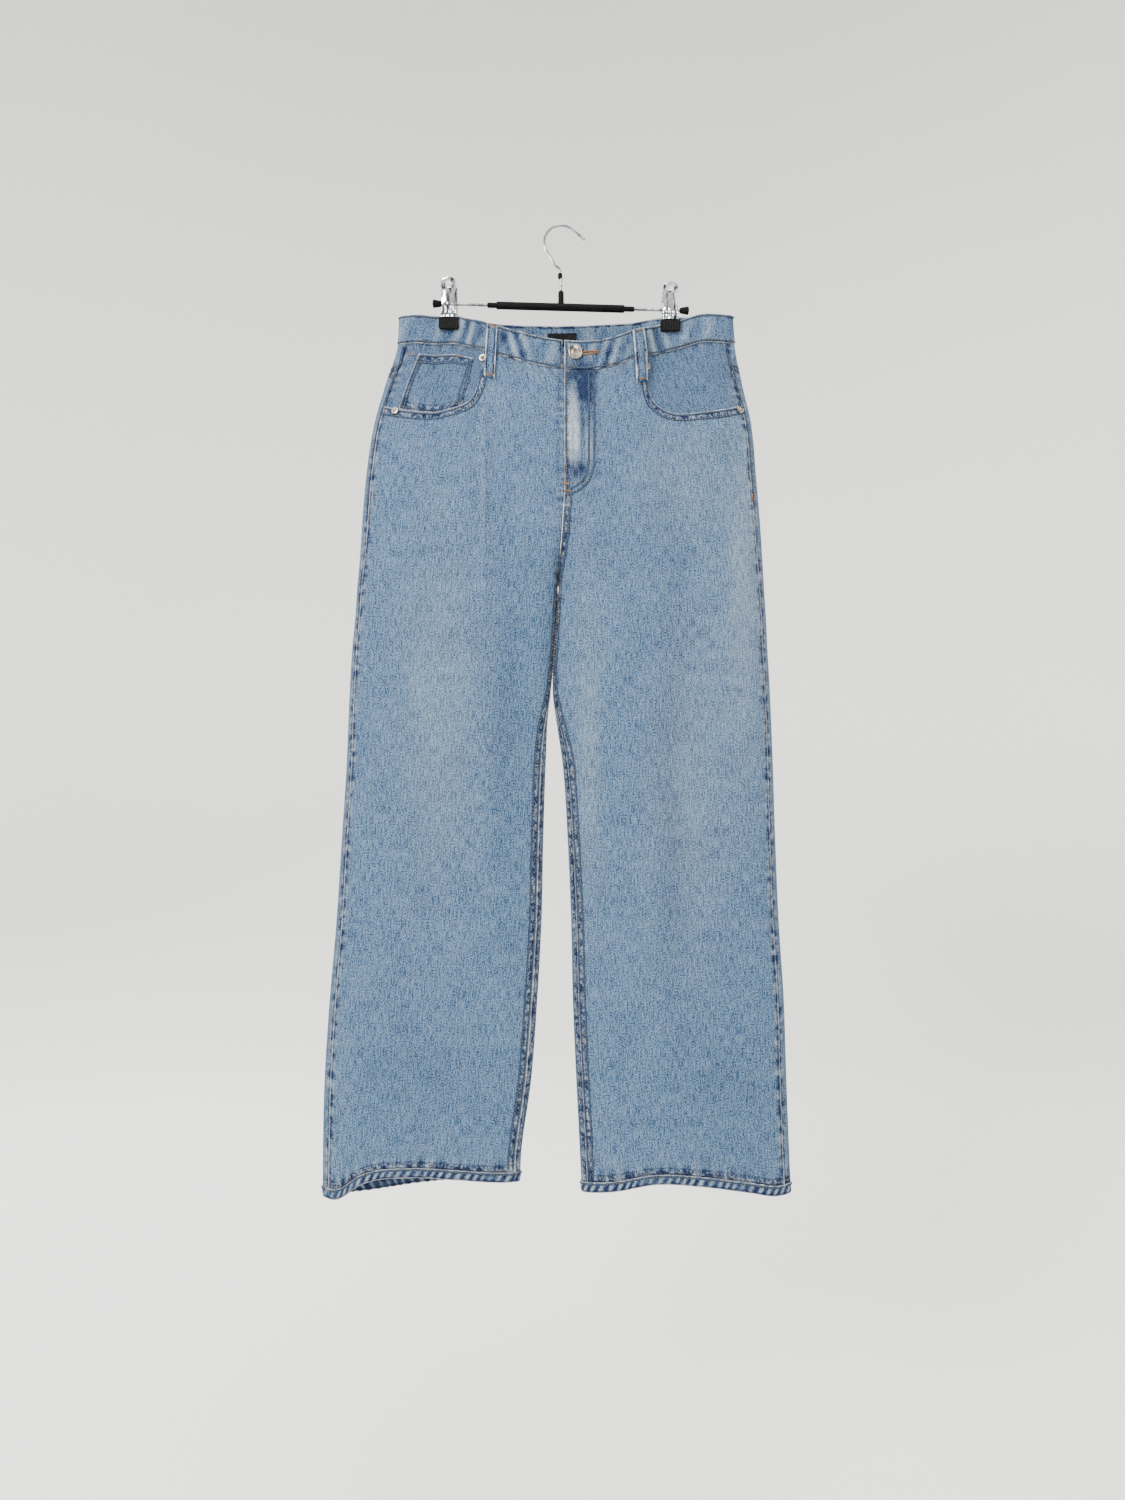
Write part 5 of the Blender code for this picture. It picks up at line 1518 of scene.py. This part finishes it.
def build_hanger_rods():
    """Hook, sleeve, stem, bar, sockets, arms and end caps."""
    angle = np.radians(np.arange(50, 222, 6))
    circle = np.stack([HOOK_RADIUS * np.cos(angle), HOOK_CENTRE_Z + HOOK_RADIUS * np.sin(angle)], axis=-1)
    middle = (np.array(HOOK_TIP) + circle[0]) / 2
    plane = np.concatenate([[HOOK_TIP], [middle], circle, NECK_PATH])
    knots = np.stack([plane[:, 0], 0 * plane[:, 0], plane[:, 1]], axis=-1)
    path = smooth_path(knots, 260)
    length = running_length(path)
    ball = np.sqrt(np.clip(1 - ((length - TIP_RADIUS) / TIP_RADIUS) ** 2, 0.0005, 1))
    ball = TIP_RADIUS * ball * (length < 2 * TIP_RADIUS)
    wire = np.where(length < TIP_RADIUS, 0.0, WIRE)
    end = np.clip((length[-1] - length) / 0.0006, 0.05, 1)
    swept("hook_wire", path, np.maximum(ball, wire) * end, 20, "wire", "hanger_hook")

    top, foot = (np.array([x, 0, z]) for x, z in (NECK_TOP, NECK_FOOT))
    down = (foot - top) / np.linalg.norm(foot - top)
    t = np.linspace(0, 1, 24)
    path = top + down * (0.0025 + COLLAR_LENGTH * t)[:, None]
    radii = capped(t * COLLAR_LENGTH, COLLAR_LENGTH, 0.0027, 0.0009)
    radii = radii * (1 - 0.10 * np.exp(-((t - 0.5) / 0.12) ** 2))
    swept("neck_collar", path, np.maximum(radii, 0.0016), 24, "black_plastic", "hook_sleeve")

    stem_foot = bar_z(foot[0]) + BAR_RADIUS * 0.6
    z = np.linspace(-0.0748, stem_foot, 36)
    part = np.linspace(0, 1, 36)
    radii = 0.0033 * (1 + 0.22 * smooth_step((part - 0.75) / 0.25)) * np.clip(part / 0.08, 0.45, 1) ** 0.5
    swept("bar_stem", np.stack([foot[0] + 0 * z, 0 * z, z], axis=-1), radii, 28, "black_plastic",
          "hanger_stem")
    rod_between("bar_tube", BAR_ENDS["left"], BAR_ENDS["right"], BAR_RADIUS, "black_plastic", "hanger_bar",
                0.0012)
    for side, sign in (("left", -1), ("right", 1)):
        gap = 0.0003 * sign
        rod_between(side + "_bar_socket", BAR_ENDS[side] - 8 * gap, SOCKET_ENDS[side], SOCKET_RADIUS,
                    "black_plastic", side + "_socket", 0.0008)
        rod_between(side + "_bar_arm", SOCKET_ENDS[side] - 6 * gap, CAP_INNER[side] + 6 * gap, ARM_RADIUS,
                    "wire", side + "_arm", 0.0004)
        t = np.linspace(0, 1, 30)
        x = CAP_INNER[side] + sign * CAP_LENGTH * t
        rounding = np.sqrt(np.clip(1 - np.clip((t - 0.86) / 0.14, 0, 1) ** 2, 0.02, 1))
        radii = (0.0028 + 0.0022 * t ** 0.8) * rounding * np.sqrt(np.clip(t / 0.05, 0.1, 1))
        swept(side + "_bar_cap", np.stack([x, 0 * x, bar_z(x)], axis=-1), radii, 28, "black_plastic",
              side + "_end_cap")


def pad_seat(side, face):
    """Y of the cloth's outermost point under a clip's pad, as in the frame."""
    low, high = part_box(side + "_clip_pad_" + face)
    return high[1] if face == "front" else low[1]


# A jaw's profile: drop below its top or arm, and distance out from the cloth's middle plane
JAW_BEND = ((0.0, 0.0125), (0.004, 0.0113), (0.012, 0.0085))
JAW_AT_ARM, JAW_OUT = 0.0062, 0.0012
# The arched eye: its drop below the jaw's top, half its width, and its reach up and down
EYE_DROP, EYE_HALF, EYE_UP, EYE_DOWN = 0.0095, 0.0046, 0.0052, 0.0022
KNURL_TOP, KNURL_FOOT, KNURL_PITCH = 0.0135, 0.0235, 0.0013
SPRING_TURNS, SPRING_WIRE = 6.5, 0.00075


def build_jaw(side, face, sign, seat):
    """One chrome jaw with its arched eye, its flutes and its knurled band."""
    centre, top = CLIP_X[side] / 1000, CLIP_TOP[side]
    arm_z, foot_y = bar_z(centre), seat + sign * PAD_THICK * 0.75
    knots_z = np.array([*(top - drop for drop, _ in JAW_BEND), arm_z + 0.005, arm_z - 0.004,
                        PAD_TOP[side] + 0.004, PAD_TOP[side] + 0.0003])
    knots_y = np.array([*(sign * out for _, out in JAW_BEND), sign * JAW_AT_ARM, sign * JAW_AT_ARM,
                        foot_y, foot_y])
    z = np.linspace(knots_z[0], knots_z[-1], 90)[:, None]
    y = np.interp(-z[:, 0], -knots_z, knots_y)
    y = np.convolve(np.pad(y, 4, mode="edge"), np.ones(9) / 9, "valid")[:, None]
    down = knots_z[0] - z
    shoulder = np.sqrt(np.clip(1 - (1 - np.clip(down / 0.0065, 0, 1)) ** 2.2, 0.02, 1))
    flare = 1 + 0.12 * smooth_step((z - (PAD_TOP[side] + 0.007)) / -0.007)
    half = 0.5 * CLIP_WIDTH * shoulder * flare
    across = np.linspace(-1, 1, 49)[None, :]
    flute = 0.00028 * np.cos(across * np.pi * 3.5) * smooth_step((down - 0.026) / 0.004)
    knurl_on = smooth_step((down - KNURL_TOP) / 0.0015) * smooth_step((KNURL_FOOT - down) / 0.0015)
    knurl = 0.00020 * np.sin((z + 0 * across) * 2 * np.pi / KNURL_PITCH) * knurl_on * (np.abs(across) < 0.78)
    bow = 0.0012 * np.cos(across * np.pi / 2) - 0.0012
    eye_x, eye_z = half * across, down - EYE_DROP
    reach = np.hypot(eye_x / EYE_HALF, eye_z / np.where(eye_z < 0, EYE_UP, EYE_DOWN))
    pull = np.where(np.abs(reach - 1) < 0.16, 1 / np.maximum(reach, 1e-6), 1.0)
    points = np.stack([centre + eye_x * pull, y + sign * (bow + JAW_OUT + flute + knurl),
                       top - EYE_DROP - eye_z * pull], axis=-1)
    faces = grid_faces(len(z), across.size)
    keep = reach.reshape(-1)[faces].mean(axis=1) > 1.0
    if face == "back":
        faces = faces[:, ::-1]
    piece = new_piece(side + "_jaw_" + face, points, face_tuples(faces[keep]), "chrome")
    wall = piece.modifiers.new("Wall", "SOLIDIFY")
    wall.thickness, wall.offset = JAW_CLOTH, -1.0
    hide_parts(side + "_clip_jaw_" + face)


def build_pad(side, face, sign, seat):
    """One rubber pad: a cushion with rounded edges and upright grooves."""
    columns, rows = 61, 25
    u, v = np.linspace(-1, 1, columns)[None, :], np.linspace(-1, 1, rows)[:, None]
    pad_x = CLIP_X[side] / 1000 + PAD_WIDTH / 2 * u * (1 - np.abs(v) ** 6 * 0.10)
    pad_z = PAD_TOP[side] - PAD_HEIGHT / 2 - PAD_HEIGHT / 2 * v * (1 - np.abs(u) ** 10 * 0.03)
    groove = 0.00035 * np.cos(u * np.pi * 7) * (np.abs(u) < 0.93) * smooth_step((1 - np.abs(v)) / 0.2)
    edge = 0.0011 * (np.abs(u) ** 14 + np.abs(v) ** 9)
    shell = np.stack([pad_x, seat + sign * (PAD_THICK - 0.0004 - edge + groove), pad_z], axis=-1)
    inner = shell.copy()
    inner[..., 1] = seat + sign * 0.0002
    points = np.concatenate([shell.reshape(-1, 3), inner.reshape(-1, 3)])
    rim = np.concatenate([np.arange(columns), np.arange(1, rows) * columns + columns - 1,
                          (rows - 1) * columns + np.arange(columns - 2, -1, -1),
                          np.arange(rows - 2, 0, -1) * columns])
    front, after, size = grid_faces(rows, columns), np.roll(rim, -1), columns * rows
    sides = np.stack([rim, after, after + size, rim + size], axis=-1)
    faces = np.concatenate([front, front[:, ::-1] + size, sides])
    pad = new_piece(side + "_pad_" + face, points, face_tuples(faces), "black_rubber")
    recalculate(pad)
    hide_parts(side + "_clip_pad_" + face)


def build_clip_jaws(side):
    """One sprung clip: two chrome jaws, two rubber pads and the spring round the arm."""
    for face, sign in (("front", -1), ("back", 1)):
        seat = pad_seat(side, face)
        build_jaw(side, face, sign, seat)
        build_pad(side, face, sign, seat)
    reach, radius = CLIP_WIDTH * 0.40, SPRING_RADIUS - 0.0008
    t = np.linspace(0, 1, 260)
    angle = 2 * np.pi * SPRING_TURNS * t
    x = CLIP_X[side] / 1000 - reach + 2 * reach * t
    path = np.stack([x, radius * np.cos(angle), bar_z(x) + radius * np.sin(angle)], axis=-1)
    radii = SPRING_WIRE * np.clip(np.minimum(t, 1 - t) * 60, 0.2, 1)
    swept(side + "_spring_coil", path, radii, 8, "wire", side + "_clip_spring", reference=(1.0, 0.0, 0.0))


LABEL_X, LABEL_Z, LABEL_SIZE = (-0.0165, 0.0175), (-0.1138, -0.1288), (0.034, 0.017)


def build_fittings_set():
    """Button and rivets, and finishes for the nodes that stay as they are."""
    x, z = np.array(BUTTON_X), np.array(WAIST_TOP - 0.42 * 0.033)
    point, normal = face_frame("right", "front", x, z)
    turned_piece("jeans_button", BUTTON_PROFILE, 56, "fittings", "button",
                 point + normal * (BAND_PROUD + 0.0011), normal, 18, 0.02)
    for name, side, x, z in RIVETS:
        point, normal = face_frame(side, "front", np.array(x), np.array(z))
        turned_piece(name + "_cap", RIVET_PROFILE, 32, "fittings", name, point + normal * 0.0016, normal)
    x = np.linspace(*LABEL_X, 26)[None, :] + np.zeros((14, 1))
    z = LABEL_Z[0] + (LABEL_Z[1] - LABEL_Z[0]) * np.linspace(0, 1, 14)[:, None] + 0 * x
    point, normal = face_frame("right", "back", x, z)
    puff = 0.00025 * np.sin(np.pi * np.linspace(0, 1, 26))[None, :, None]
    points = point - normal * (0.0024 - BAND_PROUD + 0.0012 + puff)
    label = new_piece("bare_label", points, grid_faces(14, 26), "label_black")
    wall = label.modifiers.new("Wall", "SOLIDIFY")
    wall.thickness, wall.offset = 0.0006, 0.0
    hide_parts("label")
    for node in ("zip", "zip_slider"):
        bpy.data.objects[node].material_slots[0].material = finish("zip_metal")


# The bowl of floor and wall: radius, radius of its corner, height of its wall, and level of its floor
BOWL_RADIUS, BOWL_CORNER, BOWL_HEIGHT, FLOOR = 4.2, 1.2, 5.6, -1.75
# Soft lights: name, place, size and power
LIGHTS = (
    ("key_light", (-1.7, -2.9, 0.9), 1.0, 230.0),
    ("fill_light", (2.1, -2.6, -0.2), 2.2, 30.0),
    ("top_light", (0.2, -0.9, 1.9), 1.3, 75.0),
    ("back_light_left", (-2.0, 2.6, 0.6), 1.2, 130.0),
    ("back_light_right", (2.2, 2.4, 0.2), 2.0, 40.0),
)
LIGHTS_AIM = (0.0, 0.0, -0.55)
CAMERA_PLACE, CAMERA_LENS = (0.00116, -1.307, -0.607), 27.04


def build_surroundings():
    """A pale bowl of floor and wall all round, soft lights and the camera of the photograph."""
    looks = bpy.context.scene.jeans_stage
    bend = np.linspace(0, np.pi / 2, 14)
    profile = [(0.0004, 0.0), (0.3, 0.0), (1.0, 0.0), (2.0, 0.0)]
    profile += [(BOWL_RADIUS - BOWL_CORNER + BOWL_CORNER * np.sin(a), BOWL_CORNER - BOWL_CORNER * np.cos(a))
                for a in bend]
    profile = np.array(profile + [(BOWL_RADIUS, BOWL_HEIGHT)])
    angle = np.linspace(0, 2 * np.pi, 96, endpoint=False)
    points = np.stack([profile[:, :1] * np.cos(angle), profile[:, :1] * np.sin(angle),
                       FLOOR + profile[:, 1:] + 0 * angle[None, :]], axis=-1)
    faces = face_tuples(grid_faces(len(profile), 96, closed=True)[:, ::-1]) + [tuple(range(96))]
    material, tree, shader = new_material("Pale studio paper", Roughness=0.9)
    tone = noise(tree, add_node(tree, "ShaderNodeTexCoord").outputs["Object"], 0.8)
    shade = tuple(0.96 * part for part in looks.wall)
    tree.links.new(mixed(tree, tone, rgba(looks.wall), rgba(shade)), shader.inputs["Base Color"])
    mesh = bpy.data.meshes.new("studio_bowl")
    mesh.from_pydata(points.reshape(-1, 3), [], faces)
    mesh.shade_smooth()
    mesh.materials.append(material)
    bowl = bpy.data.objects.new("studio_bowl", mesh)
    bpy.context.scene.collection.objects.link(bowl)

    world = bpy.data.worlds.new("Soft daylight")
    bpy.context.scene.world = world
    world.use_nodes = True
    background = world.node_tree.nodes["Background"]
    background.inputs[0].default_value = (0.93, 0.97, 1.0, 1.0)
    background.inputs[1].default_value = looks.ambient
    for name, place, size, power in LIGHTS:
        light = bpy.data.lights.new(name, "AREA")
        light.energy = power * looks.light
        light.size = size
        holder = bpy.data.objects.new(name, light)
        holder.location = place
        aim = Vector(LIGHTS_AIM) - holder.location
        holder.rotation_euler = aim.to_track_quat("-Z", "Y").to_euler()
        holder.visible_camera = False
        bpy.context.scene.collection.objects.link(holder)

    camera = bpy.data.cameras.new("photo_camera")
    camera.lens, camera.sensor_width, camera.sensor_fit = CAMERA_LENS, 36.0, "AUTO"
    camera.dof.use_dof = False
    viewer = bpy.data.objects.new("photo_camera", camera)
    viewer.location = CAMERA_PLACE
    viewer.rotation_euler = (np.pi / 2, 0.0, 0.0)
    bpy.context.scene.collection.objects.link(viewer)
    bpy.context.scene.camera = viewer


# Add-on


class JeansClothSettings(bpy.types.PropertyGroup):
    """Colours of the cloth and the height of its puckers."""

    worn: FloatVectorProperty(name="Worn edges", description="Colour where the wash has worn seams and edges",
                              default=(0.40, 0.43, 0.44), subtype="COLOR", min=0.0, max=1.0)
    pale: FloatVectorProperty(name="Pale yarn", description="Colour of the undyed yarn between the blue",
                              default=(0.135, 0.206, 0.290), subtype="COLOR", min=0.0, max=1.0)
    blue: FloatVectorProperty(name="Washed blue", description="Main colour of the washed yarn",
                              default=(0.009, 0.026, 0.062), subtype="COLOR", min=0.0, max=1.0)
    # Unwashed indigo is also the colour that the painted shade in grooves, creases and gaps mixes towards.
    indigo: FloatVectorProperty(name="Unwashed indigo", description="Colour in seams and sheltered places",
                                default=(0.002, 0.007, 0.030), subtype="COLOR", min=0.0, max=1.0)
    pucker: FloatProperty(name="Seam pucker", description="Height of the ripples beside the seams",
                          default=0.00032, min=0.0, max=0.001, subtype="DISTANCE", precision=5)


class JeansStageSettings(bpy.types.PropertyGroup):
    """Light and surroundings."""

    wall: FloatVectorProperty(name="Paper", description="Colour of the studio paper",
                              default=(0.88, 0.87, 0.845), subtype="COLOR", min=0.0, max=1.0)
    light: FloatProperty(name="Light", description="Strength of the soft lights",
                         default=1.0, subtype="FACTOR", min=0.0, max=5.0)
    ambient: FloatProperty(name="Daylight", description="Strength of the light from above",
                           default=0.55, subtype="FACTOR", min=0.0, max=5.0)


class JEANS_OT_legs(bpy.types.Operator):
    """Build the leg panels, yokes and pocket facings"""

    bl_idname = "jeans.legs"
    bl_label = "Legs"

    def execute(self, context):
        for side, seed in (("left", 0.4), ("right", 3.1)):
            build_leg_cloth(side, seed)
        return {"FINISHED"}


class JEANS_OT_band(bpy.types.Operator):
    """Build the waistband"""

    bl_idname = "jeans.band"
    bl_label = "Waistband"

    def execute(self, context):
        build_band()
        return {"FINISHED"}


class JEANS_OT_hems(bpy.types.Operator):
    """Build the turned hems"""

    bl_idname = "jeans.hems"
    bl_label = "Hems"

    def execute(self, context):
        for side in ("left", "right"):
            build_hem(side)
        return {"FINISHED"}


class JEANS_OT_pockets(bpy.types.Operator):
    """Build the coin pocket and the back pockets"""

    bl_idname = "jeans.pockets"
    bl_label = "Pockets"

    def execute(self, context):
        build_coin_patch()
        for side in ("left", "right"):
            build_back_patch(side)
        return {"FINISHED"}


class JEANS_OT_loops(bpy.types.Operator):
    """Build the belt loops and the fly shield"""

    bl_idname = "jeans.loops"
    bl_label = "Loops and fly"

    def execute(self, context):
        for place in LOOPS:
            build_loop(*place)
        build_fly_cloth()
        return {"FINISHED"}


class JEANS_OT_sewing(bpy.types.Operator):
    """Sew the topstitches and bar tacks, and lay the painted furrow shade along the topstitches"""

    bl_idname = "jeans.sewing"
    bl_label = "Sewing"

    def execute(self, context):
        for side in ("left", "right"):
            rows = leg_rows(side) + back_pocket_rows(side)
            sewing_piece(side + "_leg_stitches", rows, "thread")
            # A ribbon of painted furrow shade under each row.
            painted_furrow_shade_piece(side + "_leg_furrows", rows, "furrow")
        rows = centre_rows() + band_rows() + fly_rows() + coin_rows() + loop_rows()
        sewing_piece("body_stitches", rows, "thread")
        painted_furrow_shade_piece("body_furrows", rows, "furrow")
        sewing_piece("bar_tacks", tan_tacks(), "thread_tan")
        return {"FINISHED"}


class JEANS_OT_fittings(bpy.types.Operator):
    """Build the button and rivets"""

    bl_idname = "jeans.fittings"
    bl_label = "Fittings"

    def execute(self, context):
        build_fittings_set()
        return {"FINISHED"}


class JEANS_OT_hanger(bpy.types.Operator):
    """Build the hanger and its clips"""

    bl_idname = "jeans.hanger"
    bl_label = "Hanger"

    def execute(self, context):
        build_hanger_rods()
        for side in ("left", "right"):
            build_clip_jaws(side)
        return {"FINISHED"}


class JEANS_OT_stage(bpy.types.Operator):
    """Set the floor, lights and camera"""

    bl_idname = "jeans.stage"
    bl_label = "Stage"

    def execute(self, context):
        build_surroundings()
        return {"FINISHED"}


OPERATORS = (JEANS_OT_legs, JEANS_OT_band, JEANS_OT_hems, JEANS_OT_pockets, JEANS_OT_loops, JEANS_OT_sewing,
             JEANS_OT_fittings, JEANS_OT_hanger, JEANS_OT_stage)


class JEANS_PT_panel(bpy.types.Panel):
    """Lists the pieces of the jeans and their colours"""

    bl_label = "Jeans on a clip hanger"
    bl_idname = "JEANS_PT_panel"
    bl_space_type = "VIEW_3D"
    bl_region_type = "UI"
    bl_category = "Jeans"

    def draw(self, context):
        for settings in (context.scene.jeans_cloth, context.scene.jeans_stage):
            for key in settings.__annotations__:
                self.layout.prop(settings, key)
        for operator in OPERATORS:
            self.layout.operator(operator.bl_idname)


CLASSES = (JeansClothSettings, JeansStageSettings, *OPERATORS, JEANS_PT_panel)


def register():
    """Register the classes and their settings."""
    for cls in CLASSES:
        bpy.utils.register_class(cls)
    bpy.types.Scene.jeans_cloth = PointerProperty(type=JeansClothSettings)
    bpy.types.Scene.jeans_stage = PointerProperty(type=JeansStageSettings)


def unregister():
    """Undo register."""
    del bpy.types.Scene.jeans_stage
    del bpy.types.Scene.jeans_cloth
    for cls in reversed(CLASSES):
        bpy.utils.unregister_class(cls)


def main():
    """Build every piece."""
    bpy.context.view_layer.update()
    register()
    for operator in OPERATORS:
        group, name = operator.bl_idname.split(".")
        getattr(getattr(bpy.ops, group), name)()


if __name__ == "__main__":
    main()
